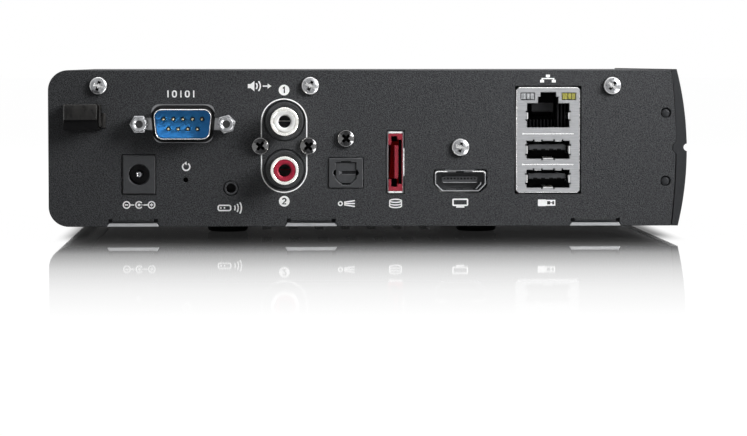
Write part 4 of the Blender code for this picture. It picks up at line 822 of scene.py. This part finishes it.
def makeSoundSockets():
    sound = {"boss": 11.3, "ring": 8.2, "insert": 6.2, "mouth": 3.5, "proud": 8.0, "back": 6.8}
    u, back = ports["soundLow"][0], sound["back"]
    outer, inner = sound["boss"] / 2, sound["ring"] / 2 + 0.15
    collar = [(outer - 0.25, 0.1), (outer - 0.05, 0.3), (outer, 0.6), (outer, 1.6), (inner, 1.6), (inner, 0.75),
              (inner + 0.45, 0.65), (inner + 0.5, 0.35), (inner + 0.85, 0.3), (inner + 0.9, 0.1)]
    toPiece("soundBlock", blackNylon, [
        block((u - 6.3, u + 6.3), (1.4, 13.3), (9.3, 37.2), 0.2),
        block((u - 8.75, u + 8.75), (1.3, 6.3), (19.9, 26.7), 0.15),
        *(lathe(collar, ports[name], 72, True) for name in ("soundLow", "soundHigh")),
    ], "moulded_plastic", ["sound_block"], smooth=35)
    for name, level, material, slot in (("soundLow", "lower", redNylon, "red_plastic"),
                                        ("soundHigh", "upper", whiteNylon, "white_plastic")):
        place, end = ports[name], level.capitalize()
        outer, bore, near = sound["ring"] / 2, sound["insert"] / 2 + 0.03, -sound["proud"]
        ring = [(bore, near + 0.3), (bore + 0.12, near + 0.08), (bore + 0.28, near), (outer - 0.3, near),
                (outer - 0.1, near + 0.1), (outer, near + 0.32), (outer, back), (bore, back)]
        toPiece("soundRing" + end, nickelPlate, [lathe(ring, place, 72, True)],
                "nickel", ["sound_ring_" + level], smooth=40)
        outer, bore, near = sound["insert"] / 2, sound["mouth"] / 2, near + 0.15
        insert = [(bore, near + 0.35), (bore + 0.25, near + 0.08), (bore + 0.4, near), (outer - 0.2, near),
                  (outer, near + 0.2), (outer, back), (0.0, back), (0.0, back - 1.0), (bore, back - 1.0)]
        toPiece("soundInsert" + end, material, [
            lathe(insert, place, 64), slab(rectangle(place, (3.3, 0.35)), 0.0, 6.0),  # the split centre contact's edge
        ], slot, ["sound_insert_" + level], smooth=40)


# Optical socket

def makeOpticalSocket():
    port = {"size": (9.8, 8.6), "half": 3.0, "reach": (3.1, 3.05), "cut": (1.43, 1.4), "depth": 15.0, "cavity": 9.5,
            "axisDepth": 1.1, "axisHeight": 18.0, "gap": 0.12, "groove": (-0.38, 0.5)}
    u, w = ports["optical"]
    low, high, half, (cutWide, cutTall) = w - port["reach"][0], w + port["reach"][1], port["half"], port["cut"]
    side = [(half + 0.75 * math.sin(t), w - 0.88 * math.cos(t)) for t in (0.0, 0.5, 1.05, 1.57, 2.1, 2.64, math.pi)]
    mouth = bothSides(u, [(1.3, low - 0.35), (1.3, low), (half - cutWide, low), (half, low + cutTall), *side,
                          (half, high), (1.43, high), (1.43, high + 0.35)])
    outline, wide = rectangle((u, w), port["size"], 0.12, 2), (u - 4.0, u + 4.0)
    housing = toPiece("opticalHousing", [blackNylon, paleNylon], [
        slab(outline, -0.4, port["cavity"], [mouth], 0.12),
        slab(outline, port["cavity"], port["depth"], [circle((u, w), 2.2, 24)], backRim=0.1),
        block(wide, (1.3, 5.3), (w + 4.35, 28.4), 0.15), block(wide, (5.3, 14.0), (9.3, 11.3)),
    ], "moulded_plastic", ["optical_housing"], smooth=35)
    setFinish(housing, lambda p, n: p.y < -0.3 and abs(n.y) < 0.95)  # its front edges are painted pale: painted highlight

    # the shutter: a groove open to the right with an arrow at its closed end, hung from its axle
    top, bottom, side = high - port["gap"], low + port["gap"], half - port["gap"]
    under, over = w + port["groove"][0], w + port["groove"][1]
    door = shifted((u, 0.0), [
        (cutWide - side, bottom), (side - cutWide, bottom), (side, bottom + cutTall), (side, under), (-1.1, under),
        (-1.1, over), (side, over), (side, top), (-side, top), (-side, bottom + cutTall)])
    near, far, end = port["axisDepth"] - 1.0, port["axisDepth"] + 0.3, half + 0.6
    axle = [(0.0, u - end), (0.4, u - end), (0.4, u + end), (0.0, u + end)]

    def arrow(bm):
        base = [bm.verts.new(at(u + x, near - 0.02, w + z)) for x, z in ((-2.1, -0.72), (-1.1, 0.0), (-2.1, 0.72))]
        peak = bm.verts.new(at(u - 1.75, near - 0.12, w))
        for k in range(3):
            bm.faces.new((base[k], base[(k + 1) % 3], peak))
        bm.faces.new(base[::-1])

    for name, material, parts, stands, smooth in (
            ("opticalShutter", blackNylon, [
                slab(door, near, far, rim=0.07),
                block((u - 1.2, u + side - 0.05), (near + 0.8, far - 0.05), (under - 0.1, over + 0.1)),
                lathe(axle, (port["axisDepth"], port["axisHeight"]), 20, axis="u")], ["optical_shutter"], 35),
            ("opticalGroove", deepNylon, [
                block((u - 1.15, u + side - 0.08), (near + 0.45, near + 0.78), (under + 0.02, over - 0.02))], (), 30),
            # painted highlight: the arrow, and a strip along the groove's lower edge, in pale nylon
            ("opticalArrow", paleNylon, [
                block((u - 1.2, u + side - 0.1), (near - 0.05, near + 0.2), (under - 0.22, under - 0.02), 0.04),
                arrow], (), 10)):
        toPiece(name, material, parts, "moulded_plastic", stands, body="shutter", smooth=smooth)
    refined("optical_emitter", clearLens, 0.2, 2, "clear_plastic")


# Storage and picture sockets

def makeStorageSocket():
    u, w = ports["storage"]
    end = (w + 8.4, w + 8.86), (w - 8.86, w - 8.4)
    # the keyed mouth, its ends stepped so that a plug fits one way round
    mouth = [(98.15, 13.6), (98.9, 13.6), (98.9, 11.4), (100.7, 11.4), (100.7, 12.2), (102.0, 12.2), (102.0, 25.1),
             (100.7, 25.1), (100.7, 26.1), (98.9, 26.1), (98.9, 23.6), (98.15, 23.6)]
    for name, material, parts, slot, stands in (
            ("storageShield", tinPlate, [
                slab(rectangle((u, w), (4.5, 17.8), 0.2, 3), -0.4, 12.0,
                     [rectangle((u, w), (4.26, 16.8), 0.1, 2)], 0.05),
            ], "tinned_steel", ["esata_shield"]),
            ("storageSprings", highlightTin, [  # painted highlights: the shield's folds, and its spring leaves right and left, in bright tin
                block((u - 1.85, u + 1.8), (-0.45, 0.0), end[0], 0.04),
                block((u - 1.85, u - 0.2), (-0.45, 0.0), end[1], 0.04),
                block((u - 0.05, u + 1.8), (-0.45, 0.0), end[1], 0.04),
                block((u + 2.25, u + 2.58), (-0.4, 5.0), (w - 3.95, w + 4.05), 0.06)], "tinned_steel", ()),
            ("storageLeaf", tinPlate, [
                block((u - 2.47, u - 2.3), (0.1, 5.0), (w - 4.9, w + 4.85), 0.04)], "tinned_steel", ()),
            ("storageInsulator", deepRedNylon, [
                slab(rectangle((u, w), (4.2, 16.74), 0.1, 2), -0.3, 8.6, [mouth], 0.05),
                slab(rectangle((u + 0.27, w + 0.05), (1.15, 9.7), 0.1, 2), 0.4, 9.0, rim=0.1),
            ], "red_plastic", ["esata_insulator"]),
            ("storageInside", darkRedNylon, [
                block((left, 102.05), (3.2, 8.4), heights) for left, heights in (
                    (98.1, (13.75, 24.5)), (100.78, (11.9, 13.75)), (100.78, (24.5, 25.4)))
            ], "red_plastic", ()),
            # thin dark sheets at the back of the mouth's pockets: painted shade
            ("storagePockets", darkNylon, [
                block((98.5, 101.2), (8.45, 8.6), (11.2, 26.3)), block((101.3, 101.98), (2.9, 3.15), (12.3, 25.0)),
            ], "red_plastic", ())):
        toPiece(name, material, parts, slot, stands)
    bars("storageContacts", 1, 1.0, (0.08, 2.0, 0.7), (101.0, 2.1, w), goldFlash, "gold", rows=7, rowPitch=1.25)


def makePictureSocket():
    port = {"size": (14.75, 5.9), "bore": (14.15, 5.3), "depth": 11.5, "lift": 0.24}
    u, w = ports["picture"]
    outlines = [lowCut((u, w), port["size"], 2.0, 0.0, 0.75), lowCut((u, w), port["bore"], 1.88, 0.0, 0.6)]
    for outline, lift in zip(outlines, (port["lift"], port["lift"] + 0.04)):  # the top edge is pressed up in its middle
        top = max(z for _, z in outline)
        last = max(k for k, p in enumerate(outline) if p[0] > u and top - p[1] < 1e-4)
        outline[last + 1:last + 1] = [(u + 3.5, top), (u + 3.35, top + lift), (u - 3.65, top + lift), (u - 3.8, top)]
    leaves = []  # spring leaves pressed inward from the top and the bottom
    for left, right, base, slope in (
            (-4.6, -1.2, 2.65, -1), (1.2, 4.6, 2.65, -1), (-3.9, -1.0, -2.65, 1), (1.0, 3.9, -2.65, 1)):
        leaf = [(0.3, base), (4.0, base + slope * 0.4), (7.5, base), (7.5, base - slope * 0.2),
                (0.3, base - slope * 0.2)]
        leaves.append(slab(shifted((0.0, w), leaf), u + left, u + right, axis="u"))
    fold = stroke(shifted((u, w), [(4.55, -2.35), (5.35, -1.5), (5.95, -0.95), (6.0, -0.3)]), 0.18)[0]
    shield = toPiece("pictureShield", [tinPlate, highlightTin], [
        slab(outlines[0], -0.4, port["depth"], [outlines[1]], 0.1),
        block((u - 4.5, u + 4.5), (1.3, 4.3), (w + 2.75, w + 13.15), 0.1), *leaves,
        slab(fold, 0.2, 3.0),  # a second fold inside the lower right corner
    ], "tinned_steel", ["hdmi_shield"])
    # the ends of its top edge are painted bright: painted highlight
    setFinish(shield, lambda p, n: p.y < -0.28 and abs(p.x - u) > 3.9 and p.z - w > 2.2)
    toPiece("pictureInsulator", blackNylon, [
        slab(lowCut((u, w), (14.1, 5.25), 1.85), 3.2, port["depth"]),
        slab(rectangle((u - 0.1, w + 0.35), (10.4, 1.9), 0.1, 2), 1.2, 4.0, rim=0.12),
    ], "moulded_plastic", ["hdmi_insulator"])
    # a bright strip along the tongue's lower front edge: painted highlight
    toPiece("pictureTongueEdge", zincPlate, [
        block((u - 4.95, u + 4.8), (1.1, 1.6), (w - 0.5, w - 0.34))], "tinned_steel")
    # dark blocks at the ends of the contact slots: painted shade
    bars("pictureSlots", 10, 0.975, (0.5, 0.4, 0.5), (u - 0.1, 1.33, w + 0.72), darkNylon, "moulded_plastic")


# Network and twin serial-bus sockets

stack = {"size": (18.5, 30.55), "corner": 0.7, "depth": 21.0, "wall": 0.5, "front": -0.4, "bus": (13.7, 22.1),
         "netLow": 28.6, "netHigh": 35.6, "lights": ((138.48, 37.6), (150.48, 37.6)), "light": (4.1, 2.1)}


def notchedMouth(u, low, high, half, sides, tops=(), bottoms=(), key=()):
    # a socket's mouth with small relief notches beside each spring finger: its right half, mirrored
    wide, deep = 0.21, 0.38
    notch = [(-wide, 0.0), (-wide, deep), (wide, deep), (wide, 0.0)]
    points = [(place + x, low - z) for place in bottoms for x, z in notch] + [(half, low)]
    points += [(half + z, low + place + x) for place in sides for x, z in notch] + [(half, high), *key]
    return bothSides(u, points + [(place - x, high + z) for place in tops for x, z in notch])


def makeStackShield():
    u, w = ports["stack"]
    front, low, high, wall = stack["front"], stack["netLow"], stack["netHigh"], stack["wall"]
    mouths = [notchedMouth(u, middle - 2.6, middle + 2.6, 6.25, (1.2, 4.0), (4.2, 1.75), (1.75,))
              for middle in stack["bus"]]
    key = [(2.95, high), (2.95, 37.5), (2.25, 37.5), (2.25, 38.8)]
    mouths.append(notchedMouth(u, low, high, 6.15, (2.1, 4.6), key=key))
    mouths += [rectangle(p, stack["light"], 0.12, 2) for p in stack["lights"]]
    outline = lowCut((u, w), stack["size"], stack["corner"], stack["corner"])
    shield = toPiece("stackShield", [tinPlate, highlightTin], [
        slab(outline, front, front + wall, mouths, 0.16),
        slab(outline, front + wall, stack["depth"], [rectangle((u, w), (17.5, 29.55))]),
    ], "tinned_steel", ["stack_shield"])
    # its outer edge is painted bright: painted highlight
    setFinish(shield, lambda p, n: (
        p.y < front + 0.2 and abs(n.y) < 0.95 and (abs(p.x - u) > 9.1 or abs(p.z - w) > 15.13)))
    bead = [(0.0, front - 0.14), (0.2, front - 0.11), (0.28, front), (0.0, front + 0.1)]
    toPiece("stackBeads", highlightTin, [part for height in (26.75, 17.85) for part in (  # pressed between the sockets, in bright tin: painted highlight
        slab(rectangle((u, height), (15.0, 0.24), 0.11, 3), front - 0.06, front + 0.1, rim=0.05),
        lathe(bead, (u - 7.4, height), 16))], "tinned_steel")

    def finger(side, fixed, span, axis, thick=0.26):
        # a spring finger starts at the mouth's edge, then runs inward and back
        near = front - 0.02
        section = [(near, 0.0), (near, thick), (near + 0.2, thick + 0.1), (6.0, 0.7), (6.0, 0.55),
                   (near + 0.3, 0.05), (near + 0.3, 0.0)]
        section = [(d, fixed - side * x) for d, x in section]
        return slab(section if axis == "u" else [p[::-1] for p in section], *span, axis=axis)

    fingers = []
    for middle in stack["bus"]:
        top, bottom = middle + 2.6, middle - 2.6
        fingers += [finger(1, top, (u - 3.9, u - 2.05), "u", 0.12), finger(1, top, (u + 2.05, u + 3.9), "u", 0.12),
                    finger(-1, bottom, (u - 1.45, u + 1.45), "u", 0.2)]
        fingers += [finger(side, u + side * 6.25, (bottom + 1.48, bottom + 3.72), "w") for side in (-1, 1)]
    fingers += [finger(side, u + side * 6.15, (low + 2.4, low + 4.3), "w") for side in (-1, 1)]
    # the fingers are bright tin: painted highlight
    toPiece("stackSprings", highlightTin, fingers, "tinned_steel")


def makeStackInserts():
    u = ports["stack"][0]
    # network socket: a stepped cavity, a sloping deck behind the latch, ribs on the right, and a comb of contact guides
    outline = rectangle((u, 32.8), (17.1, 13.4))
    mouth = bothSides(u, [(6.2, 28.5), (6.2, 35.65), (3.0, 35.65), (3.0, 37.55), (2.3, 37.55), (2.3, 38.85)])
    mouth = mouth[-1:] + mouth[:-1]
    toPiece("networkInsert", deepNylon, [
        slab(outline, 0.3, 2.3, [mouth] + [rectangle(p, (4.3, 2.3)) for p in stack["lights"]]),
        slab(outline, 2.3, 14.0, [mouth]), slab(outline, 14.0, 20.0),
        slab([(4.0, 33.4), (14.0, 31.5), (14.0, 35.7), (4.0, 35.7)], u - 4.4, u + 1.9, axis="u"),
        *(block((u + x, u + x + 0.45), (3.0 + k, 14.0), (28.5, 35.6)) for k, x in enumerate((3.0, 4.1, 5.2))),
    ], "moulded_plastic", ["network_insert"])
    toPiece("networkShadow", darkNylon, [
        block((u - 4.3, u + 1.75), (3.8, 4.1), (33.05, 33.4)), block((u - 5.3, u + 2.9), (13.2, 13.98), (28.6, 31.5)),
    ], "moulded_plastic")
    # the comb is darker than the insert round it: painted shade deep in the socket
    bars("networkComb", 8, 1.016, (0.42, 5.5, 2.3), (u - 1.15, 7.0, 29.65), darkNylon, "moulded_plastic")
    bars("networkContacts", 8, 1.016, (0.3, 2.4, 0.25), (u - 1.15, 11.2, 30.3), goldFlash, "gold")

    wide, tall = 1.87, 0.87  # a lens face with three upright flutes
    flutes = [(-wide, 2.2), (-wide, -0.22), (0.9 - wide, -0.3), (1.1 - wide, -0.12), (1.5 - wide, -0.12),
              (1.7 - wide, -0.3)]
    for name, (a, b), material, slot in zip(
            ("Left", "Right"), stack["lights"], (clearLens, amberLens), ("clear_plastic", "amber_plastic")):
        lens = slab(bothSides(a, flutes), b - tall, b + tall, (), 0.06, 0.06, "w")
        toPiece("networkLight" + name, material, [lens], slot, ["network_light_" + name.lower()], smooth=40)

    for name, w in zip(("Lower", "Upper"), stack["bus"]):
        body = rectangle((u, w), (17.1, 7.0))
        toPiece("busInsert" + name, deepNylon, [
            slab(body, 0.3, 12.7, [rectangle((u, w), (12.6, 5.3))]), slab(body, 12.7, 20.0),
        ], "moulded_plastic", ["bus_insert_" + name.lower()])
        tongue = slab(rectangle((u - 0.1, w + 0.75), (10.9, 1.75), 0.15, 2), 1.3, 13.0, rim=0.2)
        toPiece("busTongue" + name, blackNylon, [tongue], "moulded_plastic")
        # dark blocks at the ends of the contact slots: painted shade
        bars("busSlots" + name, 4, 2.3, (1.2, 0.5, 0.45), (u - 0.1, 1.5, w + 0.05), darkNylon, "moulded_plastic")
        bars("busContacts" + name, 4, 2.3, (1.0, 8.0, 0.12), (u - 0.1, 7.0, w - 0.17), goldFlash, "gold")


for make in (makeSerialPort, makeSmallSockets, makeSoundSockets, makeOpticalSocket,
             makeStorageSocket, makePictureSocket, makeStackShield, makeStackInserts):
    make()
print("sockets made")


# Printed marks: plain pictograms in place of the panel's words

def printMarks():
    bold, even, thin, hair = 0.42, 0.38, 0.36, 0.34  # widths of the printed lines
    white, black = [], []
    add = lambda points, width=bold, closed=False: white.append(stroke(points, width, closed))
    fill = lambda outline: white.append((outline, []))

    # the loop printed round the pair of sound sockets stops short of the two screws
    u, radius = 67.93, 6.55
    for sign, reach, stop in ((1, 36.85, 25.1), (-1, 9.9, 21.6)):
        bend = arc((u, reach - sign * radius), radius, 0, 180, 40, sign)
        add([(u + radius, stop), *bend, (u - radius, stop)], hair)
    for height, digit in (
            (39.45, [(-0.35, 0.45), (0.08, 0.85), (0.08, -0.85)]),
            (7.3, [(-0.5, 0.45), (-0.3, 0.78), (0.15, 0.85), (0.48, 0.55), (0.42, 0.15), (-0.5, -0.75),
                   (0.55, -0.75)])):
        fill(circle((67.95, height), 3.1, 40))
        black.append(stroke(shifted((67.95, height), digit), even))

    u, w = 38.2, 38.35  # serial: bars and rings, as on a bit stream
    for k, kind in enumerate("bobob"):
        x = u - 3.7 + 1.85 * k
        if kind == "b":
            add([(x, w - 1.0), (x, w + 1.0)], even)
        else:
            add(rectangle((x, w), (1.05, 1.65), 0.5, 5), closed=True)
    u, w = 26.03, 6.32  # power: minus, sleeve and pin, plus
    for side in (-1, 1):
        sign = (u + side * 3.6, w)
        add(circle(sign, 1.9, 24), thin, True)
        add(shifted(sign, [(-0.5, 0.0), (0.5, 0.0)]), thin)
        add([(u + side * 1.4, w), (u + side * 2.5, w)], thin)
    for rise in (0.35, -0.35):
        fill(rectangle((u + 3.6, w + rise), (0.26, 0.3)))
    add(arc((u, w), 0.95, 35, 325, 20), even)
    fill(circle((u, w), 0.8, 20))
    add([(u + 0.42, w), (u + 1.5, w)], 0.2)
    u, w = 39.65, 17.33  # reset: a turning arrow
    add(arc((u, w), 1.05, 60, -230, 20))
    fill(shifted((u, w), [(-0.65, 1.0), (0.15, 0.45), (0.1, 1.55)]))
    u, w = 52.55, 5.4  # remote eye: a handset and its beam
    add(rectangle((u - 1.9, w), (3.6, 1.5), 0.5, 4), closed=True)
    for x in (-2.9, -1.9):
        fill(circle((u + x, w), 0.5, 16))
    for reach in (1.3, 2.2, 3.1):
        add(arc((u - 0.1, w), reach, -32, 32, 8))
    u, w = 60.9, 40.6  # sound: a speaker and its waves
    fill(shifted((u, w), [(-3.4, -0.6), (-2.6, -0.6), (-1.5, -1.5), (-1.5, 1.5), (-2.6, 0.6), (-3.4, 0.6)]))
    for reach in (1.2, 2.1):
        add(arc((u - 1.9, w), reach, -42, 42, 8))
    add([(u + 0.9, w), (u + 2.4, w)], thin)
    fill(shifted((u, w), [(2.3, -0.75), (3.4, 0.0), (2.3, 0.75)]))
    u, w = 85.8, 6.6  # optical: a source and its rays
    add(circle((u - 1.6, w), 1.1, 24), even, True)
    for rise in (-0.85, 0.0, 0.85):
        add([(u - 0.5, w + rise * 0.45), (u + 2.6, w + rise)], even)
    u, w = 100.2, 6.6  # storage: stacked discs
    oval = lambda lift, start, finish: arc((u, w + lift), 1.7, start, finish, 16, 0.45 / 1.7)
    add(oval(0.75, 0, 337.5), thin, True)
    add([(u - 1.7, w + 0.75), *oval(-0.75, 180, 360), (u + 1.7, w + 0.75)], thin)
    add(oval(0.0, 190, 350), hair)
    u, w = 119.0, 6.6  # picture: a screen on its stand
    add(rectangle((u, w + 0.3), (4.2, 1.75), 0.2, 2), closed=True)
    add([(u - 1.2, w - 1.05), (u + 1.2, w - 1.05)])
    add([(u, w - 1.0), (u, w - 0.6)])
    u, w = 144.4, 42.75  # network: one box over two
    for place in shifted((u, w), [(0.0, 0.75), (-1.7, -0.75), (1.7, -0.75)]):
        fill(rectangle(place, (1.15, 0.8)))
    add(shifted((u, w), [(-1.7, -0.4), (-1.7, 0.0), (1.7, 0.0), (1.7, -0.4)]), hair)
    add([(u, w + 0.1), (u, w + 0.4)], 0.24)
    u, w = 144.4, 6.7  # serial bus: a flat plug
    add(rectangle((u + 0.9, w), (2.4, 1.35)), even, True)
    fill(rectangle((u - 1.6, w), (2.4, 1.95), 0.2, 2))
    for rise in (0.3, -0.3):
        fill(rectangle((u + 1.1, w + rise), (0.6, 0.36)))

    for name, marks, near, far, ink in (
            ("whitePrint", white, -0.03, 0.01, whiteInk), ("blackPrint", black, -0.05, -0.03, blackInk)):
        toPiece(name, ink, [slab(outline, near, far, holes) for outline, holes in marks], "coated_steel")


printMarks()
print("print made")


# Bezel controls and the inside

for node, material, rim, steps, slot, smooth in (
        ("power_button", satinAbs, 0.2, 3, "smooth_plastic", 40),
        ("remote_window", smokedAcrylic, 0.15, 2, "smoked_plastic", 40),
        ("status_light", clearLens, 0.1, 2, "clear_plastic", 40),
        ("remote_receiver", chipEpoxy, 0.15, 1, "chip", 40),
        ("power_switch", darkNylon, 0.15, 1, "moulded_plastic", 30),
        ("main_board", solderMask, 0.1, 1, "board", 30),
        ("front_board", solderMask, 0.1, 1, "board", 30),
        ("front_ribbon", ribbonVinyl, 0.08, 1, "ribbon", 40),
        ("processor", chipEpoxy, 0.15, 1, "chip", 30),
        ("heat_sink", sinkAluminium, 0.15, 1, "aluminium", 30)):
    refined(node, material, rim, steps, slot, smooth)
print("inside made")


# Floor, light and camera

def directlySeen(tree):
    path = addNode(tree, "ShaderNodeLightPath").outputs
    seen = reckon(tree, "ADD", path["Is Camera Ray"], path["Is Glossy Ray"])
    return reckon(tree, "ADD", seen, path["Is Transmission Ray"], use_clamp=True)


def makeFloor():
    bm = bmesh.new()
    bmesh.ops.create_grid(bm, x_segments=1, y_segments=1, size=8.0)
    mesh = bpy.data.meshes.new("studioFloor")
    bm.to_mesh(mesh)
    bm.free()
    floor = bpy.data.objects.new("studioFloor", mesh)
    bpy.context.scene.collection.objects.link(floor)
    # White acrylic sheet: mirrors what stands on it, less so further out, and keeps its shadow.
    made = bpy.data.materials.new("polishedAcrylicFloor")
    made.use_nodes = True
    tree = made.node_tree
    tree.nodes.clear()
    place = addNode(tree, "ShaderNodeSeparateXYZ", {0: addNode(tree, "ShaderNodeTexCoord").outputs["Object"]})
    # distances beyond the casing's ends, and beyond its front and back
    pasts = []
    for axis, centre, half in (("X", 0.0, 0.0925), ("Y", 0.00315, 0.065)):
        away = reckon(tree, "ABSOLUTE", reckon(tree, "SUBTRACT", place.outputs[axis], centre))
        pasts.append(reckon(tree, "SUBTRACT", away, half))
    beyond = [reckon(tree, "MAXIMUM", past, 0.0) for past in pasts]
    flat = addNode(tree, "ShaderNodeCombineXYZ", {"X": beyond[0], "Y": beyond[1]}).outputs[0]
    gap = addNode(tree, "ShaderNodeVectorMath", {0: flat}, operation="LENGTH").outputs["Value"]
    ramp = addNode(tree, "ShaderNodeValToRGB", {"Fac": ranged(tree, gap, (0.0, 0.26))})
    # how strongly the floor mirrors, by distance
    stops = [(0.0, 0.988), (0.03, 0.984), (0.058, 0.977), (0.092, 0.966), (0.125, 0.942), (0.158, 0.9), (0.189, 0.878),
             (0.219, 0.822), (0.277, 0.68), (0.362, 0.545), (0.49, 0.34), (0.615, 0.215), (0.735, 0.12), (1.0, 0.0)]
    while len(ramp.color_ramp.elements) < len(stops):
        ramp.color_ramp.elements.new(0.5)
    for element, (position, value) in zip(ramp.color_ramp.elements, stops):
        element.position, element.color = position, (value, value, value, 1.0)
    seen = directlySeen(tree)
    light = reckon(tree, "MULTIPLY", seen, 0.98)
    glow = addNode(tree, "ShaderNodeEmission", {"Color": (1, 1, 1, 1), "Strength": light})
    matt = addNode(tree, "ShaderNodeBsdfDiffuse", {"Color": toLinear("#505050")})
    plain = addNode(tree, "ShaderNodeAddShader", {0: glow.outputs[0], 1: matt.outputs[0]})
    # a painted contact shadow along the casing's two sides, darkening the mirror: rises, falls, and ends in front and
    # behind
    steps = ((pasts[0], (-0.0125, -0.01), (0.0, 1.0)), (pasts[0], (-0.0085, -0.0018), (1.0, 0.0)),
             (pasts[1], (-0.012, 0.026), (1.0, 0.0)))
    rise, fall, end = (ranged(tree, *step, interpolation_type="SMOOTHSTEP") for step in steps)
    shade = reckon(tree, "MULTIPLY", reckon(tree, "MULTIPLY", rise, fall), end)
    white = ranged(tree, shade, highs=(1.0, 0.2))
    tint = addNode(tree, "ShaderNodeCombineColor", {0: white, 1: white, 2: white}).outputs[0]
    mirror = addNode(tree, "ShaderNodeBsdfGlossy", {"Color": tint, "Roughness": 0.03})
    amount = reckon(tree, "MULTIPLY", ramp.outputs["Color"], seen)
    both = addNode(tree, "ShaderNodeMixShader", {0: amount, 1: plain.outputs[0], 2: mirror.outputs[0]})
    addNode(tree, "ShaderNodeOutputMaterial", {0: both.outputs[0]})
    floor.data.materials.append(made)


def makeLight():
    world = bpy.data.worlds.new("studio")
    bpy.context.scene.world = world
    world.use_nodes = True
    tree = world.node_tree
    tree.nodes.clear()
    strength = ranged(tree, directlySeen(tree), highs=(0.16, 1.0))
    back = addNode(tree, "ShaderNodeBackground", {"Color": (1, 1, 1, 1), "Strength": strength})
    addNode(tree, "ShaderNodeOutputWorld", {0: back.outputs[0]})

    lamps = {  # name: place, target, size, watts, spread
        "keySoftbox": ((0.26, -0.2, 0.21), (0.09, -0.06, 0.115), 0.22, 0.42, 60),
        "fillSoftbox": ((-0.3, -0.5, 0.45), (-0.03, -0.06, 0.02), 0.3, 0.1, 130),
        "topSoftbox": ((0.0, 0.15, 0.8), (0.0, 0.02, 0.0), 0.6, 1.3, 130),
        "backSoftbox": ((-0.5, 0.5, 0.4), (0.0, 0.02, 0.02), 0.4, 1.6, 130),
    }
    for name, (place, target, size, watts, spread) in lamps.items():
        lamp = bpy.data.lights.new(name, "AREA")
        lamp.energy, lamp.shape, lamp.size, lamp.spread = watts, "SQUARE", size, math.radians(spread)
        holder = bpy.data.objects.new(name, lamp)
        holder.location = place
        holder.rotation_euler = (Vector(target) - Vector(place)).to_track_quat("-Z", "Y").to_euler()
        holder.visible_camera = False
        bpy.context.scene.collection.objects.link(holder)


def makeCamera():
    view = {"place": (-0.0311, -0.86185, 0.0506), "along": (0.0405, 1.0, -0.05652), "lens": 133.3}
    camera = bpy.data.cameras.new("camera")
    camera.lens, camera.sensor_width = view["lens"], 36.0
    camera.clip_start, camera.clip_end = 0.01, 50.0
    holder = bpy.data.objects.new("camera", camera)
    holder.location = view["place"]
    holder.rotation_euler = Vector(view["along"]).to_track_quat("-Z", "Y").to_euler()
    bpy.context.scene.collection.objects.link(holder)
    bpy.context.scene.camera = holder
    bpy.context.scene.view_settings.view_transform = "Standard"


makeFloor()
makeLight()
makeCamera()
print("stage made")
